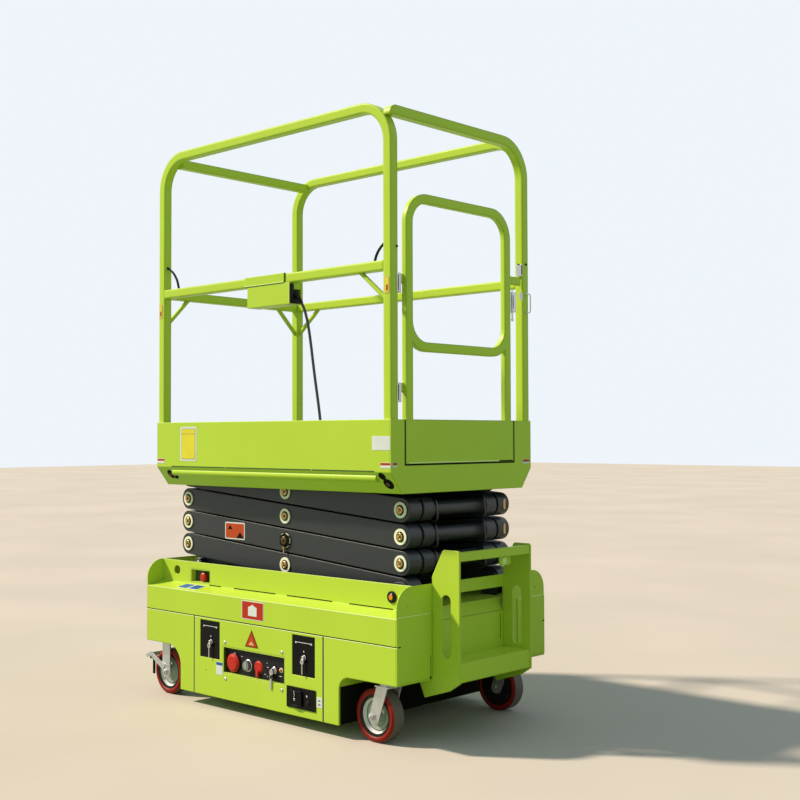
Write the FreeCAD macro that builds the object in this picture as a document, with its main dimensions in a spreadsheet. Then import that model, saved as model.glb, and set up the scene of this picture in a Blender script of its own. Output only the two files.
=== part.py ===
"""Push-around scissor lift: chassis on four wheels, four scissor levels, lift cylinder, railed platform with a gate.

Frame: +X to the entry end with the ladder, -Y to the side with the ground controls, +Z up.
The origin is on the ground at the middle of the machine's box. Lengths in millimetres.
Every x below is measured from the middle of the chassis, and the helpers add chassis_x to it.
"""
import FreeCAD, Part
import math
import os
import Sketcher

Vector = FreeCAD.Vector
doc = FreeCAD.newDocument("ScissorLift")
sheet = doc.addObject("Spreadsheet::Sheet", "Sizes")

# Driving sizes: name, value, what it is.
SIZES = [
    ("chassis_half_length", 618, "middle of the chassis to an end plate's outside"),
    ("chassis_half_width", 358, "middle to the outside of the side covers"),
    ("skin", 4, "sheet of the covers, end plates and toe boards"),
    ("pan_sheet", 5, "folded sheet of the belly pan"),
    ("bed_sheet", 6, "plate that the scissor stack stands on"),
    ("seat_gap", 0.3, "gap at which one piece is seated on another"),
    ("seam_gap", 3, "open seam round a removable panel"),
    ("belly_level", 40, "underside of the belly pan"),
    ("corner_level", 190, "underside of the four corners"),
    ("back_arch_run", 200, "back end plate's outside to the low belly"),
    ("back_arch_bend", 70, "bend of the belly pan over the back wheels"),
    ("entry_arch_run", 244, "entry end plate's outside to the low belly"),
    ("entry_arch_bend", 42, "bend of the belly pan over the swivel wheels"),
    ("panel_back_x", -342, "back seam of the service panel"),
    ("panel_entry_x", 306, "entry seam of the service panel"),
    ("panel_top", 304, "seam above the service panel"),
    ("panel_flange", 18, "depth of the service panel's folded edge"),
    ("ledge_level", 386, "outer edge of the ledge over the side cover"),
    ("ledge_rise", 13, "rise of the ledge towards the wall"),
    ("wall_half_width", 290, "middle to the outside of the stack's side walls"),
    ("wall_top", 476, "top of the stack's side walls"),
    ("cheek_bend", 62, "rounding of the end plates beside the walls"),
    ("end_slot_low", 399, "lower edge of the slot in an end plate"),
    ("end_slot_high", 437, "upper edge of the slot in an end plate"),
    ("bed_lip_level", 361, "foot of the bed's turned down lip"),
    ("bed_lip_run", 24, "run of the bed's turned down lip"),
    # ground controls
    ("window_width", 106, "black window in the service panel"),
    ("window_low", 168, "lower edge of a window"),
    ("window_high", 294, "upper edge of a window"),
    ("window_back_x", -308, "back edge of the back window"),
    ("window_entry_x", 162, "back edge of the entry window"),
    ("window_inset", 1.5, "window face behind the panel face"),
    ("tray_back_x", -184, "back edge of the control recess"),
    ("tray_length", 312, "length of the control recess"),
    ("tray_low", 127, "lower edge of the control recess"),
    ("tray_tall", 90, "height of the control recess"),
    ("tray_depth", 26, "depth of the control recess"),
    ("tray_sheet", 3, "wall of a control recess"),
    ("socket_back_x", 139, "back edge of the charging socket's plate"),
    ("socket_length", 133, "length of the charging socket's plate"),
    ("socket_low", 65, "lower edge of the charging socket's plate"),
    ("socket_tall", 66, "height of the charging socket's plate"),
    ("socket_proud", 3, "how far the socket plate stands out"),
    ("stop_knob_x", -139, "ground stop knob"),
    ("stop_knob_radius", 31, "ground stop knob's cap"),
    ("control_level", 165, "height of the row of ground controls"),
    ("mode_switch_x", -63, "round mode switch"),
    ("mode_switch_radius", 14, "round mode switch"),
    ("lower_button_x", -15, "red lowering button"),
    ("lower_button_radius", 23, "red lowering button"),
    ("key_switch_x", 64, "key switch"),
    ("key_switch_radius", 11, "key switch barrel"),
    ("lamp_x", 98, "small lamp beside the key"),
    ("lamp_radius", 6, "small lamp beside the key"),
    ("wall_recess_back_x", -451, "back edge of the recess in the wall"),
    ("wall_recess_length", 110, "length of the recess in the wall"),
    ("wall_recess_low", 404, "lower edge of the recess in the wall"),
    ("wall_recess_tall", 48, "height of the recess in the wall"),
    ("wall_recess_depth", 24, "depth of the recess in the wall"),
    ("wall_knob_x", -389, "stop knob in the wall"),
    ("wall_knob_level", 424, "stop knob in the wall"),
    ("wall_knob_radius", 16, "stop knob in the wall"),
    ("hand_hole_x", -531, "oval hole in the wall"),
    ("hand_hole_level", 441, "oval hole in the wall"),
    ("hand_hole_radius", 15, "oval hole in the wall"),
    ("amber_x", 535, "amber lamp in the wall"),
    ("amber_level", 437, "amber lamp in the wall"),
    ("amber_radius", 18, "bezel of the amber lamp"),
    # wheels
    ("wheel_radius", 80, "over the tread"),
    ("wheel_width", 50, "over the tread"),
    ("wheel_y", 292, "middle of a wheel"),
    ("tread_depth", 18, "tyre thickness over the hub"),
    ("axle_radius", 8, "wheel axle"),
    ("pin_play", 0.06, "running clearance of pins and axles, on the radius"),
    ("fixed_axle_inset", 70, "back end plate's outside to the axle of the fixed wheels"),
    ("swivel_axis_inset", 93, "entry end plate's outside to the swivel wheels' upright axis"),
    ("swivel_trail", 40, "swivel wheels' upright axis to their axle"),
    ("fork_sheet", 5, "plate of a wheel fork"),
    ("fork_side_gap", 3.5, "wheel face to fork leg"),
    ("fork_leg_width", 44, "fork leg seen from the side"),
    ("fork_plate_length", 116, "top plate of a wheel fork"),
    ("fork_plate_width", 84, "top plate of a wheel fork"),
    ("pedal_reach", 666, "middle of the chassis to the brake pedal's tip"),
    # heavy blocks inside
    ("battery_back_x", -330, "back face of the battery block"),
    ("battery_length", 350, "battery block"),
    ("battery_half_width", 180, "battery block"),
    ("battery_tall", 225, "battery block"),
    ("pump_back_x", 80, "back face of the pump block"),
    ("pump_length", 220, "pump block"),
    ("pump_half_width", 140, "pump block"),
    ("pump_tall", 180, "pump block"),
    # scissor stack
    ("pin_inset", 92, "end plate's outside to the end pins as parked"),
    ("pin_level", 452, "lowest end pins"),
    ("level_rise", 81, "end pins, one level to the next, as parked"),
    ("arm_tall", 75, "height of an arm's section"),
    ("outer_arm_in", 187, "middle to an outer arm's inner face"),
    ("outer_arm_out", 242, "middle to an outer arm's outer face"),
    ("inner_arm_in", 126, "middle to an inner arm's inner face"),
    ("inner_arm_out", 176, "middle to an inner arm's outer face"),
    ("pin_radius", 15, "scissor pins"),
    ("pin_ring_radius", 25, "white retaining ring on a pin's end"),
    ("pin_ring_thick", 4, "white retaining ring on a pin's end"),
    ("tube_radius", 23, "cross tubes between the inner arms"),
    ("roller_radius", 25, "rollers at the sliding ends"),
    ("roller_width", 24, "rollers at the sliding ends"),
    ("roller_gap", 3.5, "roller to the arm beside it"),
    ("roller_travel", 428, "how far the rollers run when the platform is up"),
    ("track_spare", 34, "track beyond the rollers at each end"),
    ("track_side", 4, "track beyond the roller's face"),
    ("bracket_sheet", 6, "plates of the pivot brackets"),
    ("bracket_gap", 1.5, "bracket plate to the arm beside it"),
    ("bracket_wide", 64, "pivot bracket seen from the side"),
    # lift cylinder
    ("cylinder_foot_x", 440, "pivot of the cylinder's barrel on the bed"),
    ("cylinder_foot_level", 437, "pivot of the cylinder's barrel on the bed"),
    ("cylinder_head_run", 60, "rod eye along the lowest inner arm from its middle"),
    ("cylinder_head_rise", 66, "rod eye above the lowest inner arm's middle line"),
    ("barrel_radius", 27, "cylinder barrel"),
    ("rod_radius", 16, "cylinder rod"),
    ("rod_gap", 0.08, "rod to the barrel's bore"),
    ("eye_radius", 24, "eyes at the cylinder's ends"),
    ("eye_width", 30, "eyes at the cylinder's ends"),
    ("ear_sheet", 8, "ears that hold the cylinder's eyes"),
    ("ear_gap", 1.5, "eye to the ear beside it"),
    ("barrel_front", 90, "rod eye to the barrel's mouth as parked"),
    ("head_tube_radius", 19, "cross tube that carries the rod's ears"),
    ("head_tube_run", -45, "that tube along the lowest inner arm, clear of the rod's swing"),
    ("head_tube_rise", 15, "that tube above the lowest inner arm's middle line"),
    ("ear_wide", 34, "width of the rod's ears"),
    # platform
    ("platform_back", 584, "middle of the chassis to the platform's back end"),
    ("platform_entry", 580, "middle of the chassis to the platform's entry end"),
    ("platform_half_width", 340.7, "middle to the outside of the toe boards"),
    ("toe_top", 970, "top of the toe boards"),
    ("deck_level", 828, "standing surface"),
    ("fold_level", 812, "fold between a toe board and its skirt"),
    ("deck_sheet", 4, "deck plate"),
    ("tread_plate_back_x", -465, "back edge of the checker plate"),
    ("tread_plate_entry_x", 532, "entry edge of the checker plate"),
    ("tread_plate_half_width", 288, "checker plate"),
    ("skirt_level", 747, "lower edge of the slanted skirt"),
    ("skirt_half_width", 292, "middle to the skirt's lower edge"),
    ("lip_radius", 12, "rolled lip along the skirt"),
    ("lip_level", 794, "rolled lip along the skirt"),
    ("lip_back_x", -502, "back end of the rolled lip"),
    ("lip_entry_x", 512, "entry end of the rolled lip"),
    ("rail_tube", 30, "square tube of the guard rails"),
    ("rail_top", 1936, "top of the side rails"),
    ("rail_bend", 130, "outside bend of the side loops and the entry frame"),
    ("frame_drop", 22, "entry frame's top below the side rails"),
    ("frame_end_round", 26, "rounding of the entry frame's near end"),
    ("back_bar_x", -500, "top bar across the back"),
    ("back_bar_drop", 20, "top bar across the back below the rails' top"),
    ("brace_size", 12, "square bar of the corner braces"),
    ("brace_run", 114, "corner brace along the middle rail"),
    ("brace_drop", 94, "corner brace down the post"),
    # gate
    ("gate_near_y", -268, "gate loop's hinge side"),
    ("gate_far_y", 240, "gate loop's latch side"),
    ("gate_bend", 95, "outside bend of the gate loop"),
    ("gate_tube_wide", 29, "flat tube of the gate, seen from the entry end"),
    ("gate_tube_thick", 18, "flat tube of the gate, along the machine"),
    ("kick_low", 836, "lower edge of the gate's kick plate"),
    ("kick_near_y", -277, "kick plate's hinge side"),
    ("kick_far_y", 247, "kick plate's latch side"),
    ("kick_seam", 2.5, "open seam round the kick plate"),
    ("hinge_tall", 58, "height of a hinge"),
    ("hinge_radius", 8, "knuckle of a hinge"),
    ("latch_tall", 66, "height of the latch"),
    ("latch_wide", 34, "width of the latch"),
    ("tab_rise", 91, "stop tab above the latch's foot"),
    ("tab_tall", 27, "height of the stop tab"),
    # ladder
    ("ladder_depth", 108, "end plate's outside to the ladder's front"),
    ("ladder_near_y", -204, "outside of the ladder's near plate"),
    ("ladder_far_y", 146, "outside of the ladder's far plate"),
    ("ladder_sheet", 6, "side plates of the ladder"),
    ("ladder_top", 580, "top of the ladder's side plates"),
    ("ladder_corner", 9, "rounding at the top of the side plates"),
    ("ladder_foot_inset", 51, "foot of the side plates behind the end plate"),
    ("ladder_foot_drop", 58, "foot of the side plates below the end plate"),
    ("ladder_foot_run", 20, "sloped back edge of the foot"),
    ("ladder_nose_run", 40, "sloped front edge of the foot"),
    ("ladder_nose_rise", 32, "sloped front edge of the foot"),
    ("ladder_top_run", 64, "level top edge of the side plates"),
    ("ladder_top_drop", 82, "from the top edge down to the end plate"),
    ("hand_slot_width", 37, "slot in a ladder plate"),
    ("hand_slot_setback", 34, "slot in a ladder plate behind its front edge"),
    ("hand_slot_low", 260, "foot of the slot in a ladder plate"),
    ("hand_slot_high", 446, "top of the slot in a ladder plate"),
    ("step_level", 248, "tread of the step"),
    ("step_lip_level", 191, "foot of the step's front lip"),
    ("grip_low", 548, "foot of the handrail bar"),
    ("grip_tall", 27, "height of the handrail bar"),
    ("grip_thick", 14, "thickness of the handrail bar"),
    # control box
    ("box_back_x", -82, "control box on the near middle rail"),
    ("box_length", 210, "control box on the near middle rail"),
    ("box_tall", 70, "height of the control box holder"),
    ("box_depth", 52, "depth of the control box holder"),
    ("case_depth", 33, "depth of the control box itself"),
    ("hook_over", 14, "holder's hook beyond its back end"),
    ("hook_short", 26, "holder's hook short of its entry end"),
    ("hook_grip", 20, "hook down the inside of the rail"),
    ("box_sheet", 2.5, "sheet of the control box holder"),
    ("cable_diameter", 9, "control cable"),
    ("cable_drop", 54.7, "start of the cable below the middle rail"),
    ("gland_rise", 10, "cable gland over the deck"),
    ("gland_radius", 9, "cable gland in the deck"),
    ("boot_radius", 7, "rubber boot where the cable leaves the control box"),
]


class Size:
    """A length that also carries its formula in the sheet's words."""

    def __init__(self, value, formula):
        self.value = float(value)
        self.formula = formula

    @staticmethod
    def of(thing):
        if isinstance(thing, Size):
            return thing
        return Size(thing, repr(float(thing)))

    def __add__(self, other):
        other = Size.of(other)
        return Size(self.value + other.value, "(%s + %s)" % (self.formula, other.formula))

    def __sub__(self, other):
        other = Size.of(other)
        return Size(self.value - other.value, "(%s - %s)" % (self.formula, other.formula))

    def __mul__(self, other):
        other = Size.of(other)
        return Size(self.value * other.value, "(%s * %s)" % (self.formula, other.formula))

    def __truediv__(self, other):
        other = Size.of(other)
        return Size(self.value / other.value, "(%s / %s)" % (self.formula, other.formula))

    def __radd__(self, other):
        return Size.of(other) + self

    def __rsub__(self, other):
        return Size.of(other) - self

    def __rmul__(self, other):
        return Size.of(other) * self

    def __neg__(self):
        return Size(-self.value, "(-1 * %s)" % self.formula)


class Sizes:
    """The sheet's cells by name."""


s = Sizes()
for row, (name, value, meaning) in enumerate(SIZES, start=1):
    sheet.set("A%d" % row, name)
    sheet.set("B%d" % row, str(value))
    sheet.set("C%d" % row, meaning)
    sheet.setAlias("B%d" % row, name)
    setattr(s, name, Size(value, "Sizes.%s" % name))
doc.recompute()

# The machine's box runs from the brake pedals to the ladder, and its middle is the origin.
chassis_x = (s.pedal_reach - s.chassis_half_length - s.ladder_depth) / 2


# Modelling helpers
def bind(thing, **formulas):
    """Sets properties, dots written as double underscores, and ties them to the sheet."""
    for key, size in formulas.items():
        thing.setExpression(key.replace("__", "."), Size.of(size).formula)


def block(name, x, y, z):
    """A box between two values on each axis."""
    box = doc.addObject("Part::Box", name)
    for side, (low, high) in (("Length", x), ("Width", y), ("Height", z)):
        box.setExpression(side, (Size.of(high) - low).formula)
    bind(box, Placement__Base__x=chassis_x + x[0], Placement__Base__y=y[0], Placement__Base__z=z[0])
    return box


TURNS = {
    "x": FreeCAD.Rotation(Vector(0, 1, 0), 90),
    "y": FreeCAD.Rotation(Vector(1, 0, 0), -90),
    "z": FreeCAD.Rotation(),
}


def rod(name, along, centre, radius, span):
    """A round bar along an axis; centre holds the other two coordinates, in x, y, z order."""
    bar = doc.addObject("Part::Cylinder", name)
    bar.Placement = FreeCAD.Placement(Vector(), TURNS[along])
    place = list(centre)
    place.insert("xyz".index(along), span[0])
    bind(bar, Radius=radius, Height=Size.of(span[1]) - span[0])
    bind(bar, Placement__Base__x=chassis_x + place[0], Placement__Base__y=place[1], Placement__Base__z=place[2])
    return bar


PLANES = {"XZ": "XZ_Plane", "YZ": "YZ_Plane", "XY": "XY_Plane"}


def outline(name, plane, corners, span, rounds=(), turned=None):
    """A padded outline. corners are pairs on the plane, span its two values across the plane.

    rounds holds (radius, corner numbers). turned holds (pivot x, pivot z, degrees about +Y as a formula),
    and the corners are then measured from that pivot.
    """
    body = doc.addObject("PartDesign::Body", name)
    sketch = body.newObject("Sketcher::SketchObject", name + "_outline")
    role = PLANES[plane]
    sketch.AttachmentSupport = [([f for f in body.Origin.OriginFeatures if f.Role == role][0], "")]
    sketch.MapMode = "FlatFace"
    points = [(Size.of(a), Size.of(b)) for a, b in corners]
    count = len(points)
    for number in range(count):
        start = points[number]
        end = points[(number + 1) % count]
        sketch.addGeometry(Part.LineSegment(Vector(start[0].value, start[1].value, 0),
                                            Vector(end[0].value, end[1].value, 0)))
    for number in range(count):
        sketch.addConstraint(Sketcher.Constraint("Coincident", number, 2, (number + 1) % count, 1))
    for number, point in enumerate(points):
        for kind, size in (("DistanceX", point[0]), ("DistanceY", point[1])):
            place = sketch.addConstraint(Sketcher.Constraint(kind, -1, 1, number, 1, size.value))
            sketch.setExpression("Constraints[%d]" % place, size.formula)
    pad = body.newObject("PartDesign::Pad", name + "_pad")
    pad.Profile = sketch
    pad.Midplane = True
    bind(pad, Length=Size.of(span[1]) - span[0])
    across = "xyz"["YZ XZ XY".split().index(plane)]
    middle = (Size.of(span[0]) + span[1]) / 2
    offset = {"x": Size.of(0), "y": Size.of(0), "z": Size.of(0)}
    offset[across] = offset[across] + middle
    if turned:
        offset["x"] = offset["x"] + turned[0]
        offset["z"] = offset["z"] + turned[1]
        body.Placement = FreeCAD.Placement(Vector(), FreeCAD.Rotation(Vector(0, 1, 0), 1))
        body.setExpression("Placement.Rotation.Angle", turned[2])
    bind(body, Placement__Base__x=chassis_x + offset["x"], Placement__Base__y=offset["y"],
         Placement__Base__z=offset["z"])
    for turn, (radius, numbers) in enumerate(rounds):
        doc.recompute()
        base = body.Tip
        edges = []
        for number in numbers:
            spot = [0.0, 0.0, 0.0]
            first, second = {"YZ": (1, 2), "XZ": (0, 2), "XY": (0, 1)}[plane]
            spot[first] = points[number][0].value
            spot[second] = points[number][1].value
            for index, edge in enumerate(base.Shape.Edges, start=1):
                ends = [v.Point for v in edge.Vertexes]
                if len(ends) == 2 and all(abs(e[first] - spot[first]) < 0.01 and abs(e[second] - spot[second]) < 0.01
                                          for e in ends):
                    edges.append("Edge%d" % index)
        fillet = body.newObject("PartDesign::Fillet", "%s_round_%d" % (name, turn))
        fillet.Base = (base, edges)
        bind(fillet, Radius=radius)
    doc.recompute()
    return body


def revolve(name, along, centre, profile):
    """A turned piece: profile is (distance along the axis, radius) pairs, closed along the axis."""
    body = doc.addObject("PartDesign::Body", name)
    sketch = body.newObject("Sketcher::SketchObject", name + "_profile")
    sketch.AttachmentSupport = [([f for f in body.Origin.OriginFeatures if f.Role == "XY_Plane"][0], "")]
    sketch.MapMode = "FlatFace"
    points = [(Size.of(a), Size.of(r)) for a, r in profile]
    count = len(points)
    for number in range(count):
        start = points[number]
        end = points[(number + 1) % count]
        sketch.addGeometry(Part.LineSegment(Vector(start[0].value, start[1].value, 0),
                                            Vector(end[0].value, end[1].value, 0)))
    for number in range(count):
        sketch.addConstraint(Sketcher.Constraint("Coincident", number, 2, (number + 1) % count, 1))
    for number, point in enumerate(points):
        for kind, size in (("DistanceX", point[0]), ("DistanceY", point[1])):
            place = sketch.addConstraint(Sketcher.Constraint(kind, -1, 1, number, 1, size.value))
            sketch.setExpression("Constraints[%d]" % place, size.formula)
    turning = body.newObject("PartDesign::Revolution", name + "_turned")
    turning.Profile = sketch
    turning.ReferenceAxis = (sketch, ["H_Axis"])
    turning.Angle = 360
    spin = {"x": FreeCAD.Rotation(), "y": FreeCAD.Rotation(Vector(0, 0, 1), 90),
            "z": FreeCAD.Rotation(Vector(0, 1, 0), -90)}[along]
    body.Placement = FreeCAD.Placement(Vector(), spin)
    place = list(centre)
    bind(body, Placement__Base__x=chassis_x + place[0], Placement__Base__y=place[1], Placement__Base__z=place[2])
    doc.recompute()
    return body


def cut(name, base, *tools):
    """base less the tools."""
    piece = doc.addObject("Part::Cut", name)
    piece.Base = base
    piece.Tool = tools[0] if len(tools) == 1 else fuse(name + "_tools", *tools)
    return piece


def fuse(name, *pieces):
    """Pieces welded into one solid."""
    whole = doc.addObject("Part::MultiFuse", name)
    whole.Shapes = list(pieces)
    whole.Refine = True
    return whole


def gather(name, *pieces):
    """Like pieces that don't touch, kept as separate solids."""
    whole = doc.addObject("Part::Compound", name)
    whole.Links = list(pieces)
    return whole


def mirror(name, piece):
    """The same piece on the other side of the machine's middle plane."""
    twin = doc.addObject("Part::Mirroring", name)
    twin.Source = piece
    twin.Normal = (0, 1, 0)
    return twin


nodes = []


def node(thing, name):
    """Marks an object as a sub-part of its own, exported under this name."""
    thing.Label = name
    nodes.append(thing)
    return thing


def root(size):
    """Square root, kept as a formula."""
    return Size(math.sqrt(size.value), "sqrt(%s)" % size.formula)


def degrees_of(rise, run):
    """Angle of a slope as a formula in degrees."""
    slope = Size.of(rise) / run
    return Size(math.degrees(math.atan(slope.value)), "atan(%s)" % slope.formula)


# Shared places
half = s.chassis_half_length
side = s.chassis_half_width
back_arch_x = s.back_arch_run - half
entry_arch_x = half - s.entry_arch_run
fixed_axle_x = s.fixed_axle_inset - half
swivel_axis_x = half - s.swivel_axis_inset
swivel_axle_x = swivel_axis_x - s.swivel_trail
end_inside = half - s.skin - s.seat_gap
side_inside = side - s.skin - s.seat_gap
wall_inside = s.wall_half_width - s.skin
bed_top = s.end_slot_low
deck_under = s.deck_level - 2 * s.deck_sheet
ladder_front = half + s.ladder_depth


# Chassis
def belly_pan():
    """One folded sheet: low belly between the wheels, high corners over them."""
    low = s.belly_level
    high = s.corner_level
    sheet_ = s.pan_sheet
    back = back_arch_x
    entry = entry_arch_x
    corners = [
        (-end_inside, high), (back, high), (back, low), (entry, low), (entry, high), (end_inside, high),
        (end_inside, high + sheet_), (entry - sheet_, high + sheet_), (entry - sheet_, low + sheet_),
        (back + sheet_, low + sheet_), (back + sheet_, high + sheet_), (-end_inside, high + sheet_),
    ]
    rounds = [
        (s.back_arch_bend, [1]), (s.back_arch_bend + sheet_, [10]),
        (s.entry_arch_bend, [4]), (s.entry_arch_bend + sheet_, [7]),
    ]
    node(outline("belly_pan", "XZ", corners, (-side_inside, side_inside), rounds), "belly_pan")


def scissor_bed():
    """Plate under the scissor stack, its entry edge turned down towards the step."""
    turn = end_inside - s.bed_lip_run
    corners = [
        (-end_inside, bed_top - s.bed_sheet), (turn - s.bed_sheet / 2, bed_top - s.bed_sheet),
        (end_inside - s.bed_sheet, s.bed_lip_level), (end_inside, s.bed_lip_level),
        (turn, bed_top), (-end_inside, bed_top),
    ]
    width = wall_inside - s.seat_gap
    node(outline("scissor_bed", "XZ", corners, (-width, width)), "scissor_bed")


def side_cover(near):
    """Side sheet with both wheel arches, the ledge above it and the wall beside the stack."""
    name = "side_cover_near" if near else "side_cover_far"
    low = s.belly_level
    high = s.corner_level
    corners = [
        (-end_inside, high), (back_arch_x, high), (back_arch_x, low), (s.panel_back_x, low),
        (s.panel_back_x, s.panel_top), (s.panel_entry_x, s.panel_top), (s.panel_entry_x, low),
        (entry_arch_x, low), (entry_arch_x, high), (end_inside, high),
        (end_inside, s.ledge_level), (-end_inside, s.ledge_level),
    ]
    plate = outline(name + "_plate", "XZ", corners, (-side, -side + s.skin),
                    [(s.back_arch_bend, [1]), (s.entry_arch_bend, [8])])
    ledge_in = s.ledge_level + s.ledge_rise
    fold = [
        (-side, s.ledge_level - s.skin), (-side, s.ledge_level), (-s.wall_half_width, ledge_in),
        (-s.wall_half_width, s.wall_top), (-wall_inside, s.wall_top), (-wall_inside, ledge_in - s.skin),
    ]
    ledge = outline(name + "_ledge", "YZ", fold, (-end_inside, end_inside))
    whole = fuse(name + "_sheet", plate, ledge)
    through = (-s.wall_half_width - s.skin, -wall_inside + s.skin)
    shift = s.hand_hole_radius / 6
    holes = [
        rod(name + "_hand_hole_back", "y", (s.hand_hole_x - shift, s.hand_hole_level), s.hand_hole_radius, through),
        rod(name + "_hand_hole_entry", "y", (s.hand_hole_x + shift, s.hand_hole_level), s.hand_hole_radius, through),
        rod(name + "_lamp_hole", "y", (s.amber_x, s.amber_level), s.amber_radius - s.skin / 2, through),
    ]
    if near:
        holes.append(block(name + "_recess", (s.wall_recess_back_x, s.wall_recess_back_x + s.wall_recess_length),
                           through, (s.wall_recess_low, s.wall_recess_low + s.wall_recess_tall)))
        return cut(name, whole, *holes)
    return mirror(name, cut(name + "_cut", whole, *holes))


def service_panel(near):
    """Lift-off panel: a face plate with a folded edge that stands on the belly pan."""
    name = "service_panel_near" if near else "service_panel_far"
    x = (s.panel_back_x + s.seam_gap, s.panel_entry_x - s.seam_gap)
    top = s.panel_top - s.seam_gap
    foot = s.belly_level + s.pan_sheet + s.seat_gap
    face_in = -side + s.skin
    fold_in = face_in + s.panel_flange
    face = block(name + "_face", x, (-side, face_in), (s.belly_level, top))
    edge = block(name + "_edge", x, (face_in, fold_in), (foot, top))
    inner = block(name + "_inner", (x[0] + s.skin, x[1] - s.skin), (face_in, fold_in + s.skin),
                  (foot + s.skin, top - s.skin))
    whole = fuse(name + "_sheet", face, cut(name + "_fold", edge, inner))
    if not near:
        return mirror(name, whole)
    through = (-side - s.skin, face_in + s.skin / 2)
    tools = [block(name + "_control_hole", (s.tray_back_x, s.tray_back_x + s.tray_length), through,
                   (s.tray_low, s.tray_low + s.tray_tall))]
    for window, left in (("back", s.window_back_x), ("entry", s.window_entry_x)):
        tools.append(block("%s_%s_window" % (name, window), (left, left + s.window_width), through,
                           (s.window_low, s.window_high)))
    return cut(name, whole, *tools)


def panel_windows():
    """The two black panes set in the near service panel."""
    panes = []
    gap = s.seat_gap
    for window, left in (("back", s.window_back_x), ("entry", s.window_entry_x)):
        panes.append(block("pane_" + window, (left + gap, left + s.window_width - gap),
                           (-side + s.window_inset, -side + s.skin),
                           (s.window_low + gap, s.window_high - gap)))
    node(gather("panel_windows", *panes), "panel_windows")


def recess(name, x, y_face, depth, z):
    """An open-fronted tray that sits in a cut-out and reaches towards +Y."""
    gap = s.seat_gap
    front = y_face
    back = y_face + depth
    outer = block(name + "_outer", (x[0] + gap, x[1] - gap), (front, back), (z[0] + gap, z[1] - gap))
    wall = s.tray_sheet
    inner = block(name + "_inside", (x[0] + gap + wall, x[1] - gap - wall), (front - s.skin, back - wall),
                  (z[0] + gap + wall, z[1] - gap - wall))
    return cut(name, outer, inner)


def ground_controls():
    """Control recess, stop knob, lowering button, switches and the charging socket's plate."""
    tray = recess("ground_control_tray", (s.tray_back_x, s.tray_back_x + s.tray_length), -side, s.tray_depth,
                  (s.tray_low, s.tray_low + s.tray_tall))
    floor = -side + s.tray_depth - s.tray_sheet
    high = s.control_level
    cap = s.stop_knob_radius
    knob = revolve("ground_stop_knob", "y", (s.stop_knob_x, floor, high), [
        (0, 0), (0, cap * 0.4), (-9, cap * 0.4), (-9, cap), (-17, cap), (-22, cap * 0.7), (-22, 0)])
    button = revolve("ground_lower_button", "y", (s.lower_button_x, floor, high), [
        (0, 0), (0, s.lower_button_radius), (-10, s.lower_button_radius), (-14, s.lower_button_radius * 0.7), (-14, 0)])
    switch = rod("mode_switch", "y", (s.mode_switch_x, high), s.mode_switch_radius, (floor - 16, floor))
    barrel = rod("key_barrel", "y", (s.key_switch_x, high), s.key_switch_radius, (floor - 12, floor))
    key = block("key_blade", (s.key_switch_x - 1.5, s.key_switch_x + 1.5), (floor - 21, floor - 12), (high - 26, high + 6))
    lamp = rod("key_lamp", "y", (s.lamp_x, high), s.lamp_radius, (floor - 6, floor))
    node(gather("ground_switches", switch, fuse("key_switch", barrel, key), lamp), "ground_switches")
    socket = block("charging_socket", (s.socket_back_x, s.socket_back_x + s.socket_length),
                   (-side - s.socket_proud, -side), (s.socket_low, s.socket_low + s.socket_tall))
    node(socket, "charging_socket")
    return tray, [knob, button]


def wall_controls():
    """Stop knob in its tray in the near wall, and an amber lamp in each wall."""
    tray = recess("wall_stop_tray", (s.wall_recess_back_x, s.wall_recess_back_x + s.wall_recess_length),
                  -s.wall_half_width, s.wall_recess_depth,
                  (s.wall_recess_low, s.wall_recess_low + s.wall_recess_tall))
    floor = -s.wall_half_width + s.wall_recess_depth - s.tray_sheet
    cap = s.wall_knob_radius
    knob = revolve("wall_stop_knob", "y", (s.wall_knob_x, floor, s.wall_knob_level), [
        (0, 0), (0, cap * 0.5), (-9, cap * 0.5), (-9, cap), (-16, cap), (-20, cap * 0.7), (-20, 0)])
    stem = s.amber_radius - s.skin / 2 - s.seat_gap
    lamp = revolve("amber_lamp_near", "y", (s.amber_x, -s.wall_half_width, s.amber_level), [
        (s.skin, 0), (s.skin, stem), (0, stem), (0, s.amber_radius), (-4, s.amber_radius),
        (-4, s.amber_radius * 0.7), (-8, s.amber_radius * 0.4), (-8, 0)])
    node(gather("amber_lamps", lamp, mirror("amber_lamp_far", lamp)), "amber_lamps")
    return tray, [knob]


def end_plate(entry):
    """End plate with rounded cheeks beside the walls and a slot towards the scissor bed."""
    name = "end_plate_entry" if entry else "end_plate_back"
    x = (half - s.skin, half) if entry else (-half, -half + s.skin)
    top = s.wall_top
    corners = [(-side, s.corner_level), (side, s.corner_level), (side, top), (-side, top)]
    plate = outline(name + "_plate", "YZ", corners, x, [(s.cheek_bend, [2, 3])])
    foot = s.bed_lip_level if entry else s.end_slot_low
    slot = block(name + "_slot", (x[0] - s.skin, x[1] + s.skin),
                 (s.ladder_near_y + s.ladder_sheet, s.ladder_far_y - s.ladder_sheet), (foot, s.end_slot_high))
    return cut(name, plate, slot)


def heavy_blocks():
    """Batteries and the pump unit, plain blocks on the belly pan."""
    floor = s.belly_level + s.pan_sheet
    battery = block("battery_block", (s.battery_back_x, s.battery_back_x + s.battery_length),
                    (-s.battery_half_width, s.battery_half_width), (floor, floor + s.battery_tall))
    pump = block("pump_block", (s.pump_back_x, s.pump_back_x + s.pump_length),
                 (-s.pump_half_width, s.pump_half_width), (floor, floor + s.pump_tall))
    node(gather("batteries_and_pump", battery, pump), "batteries_and_pump")


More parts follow.
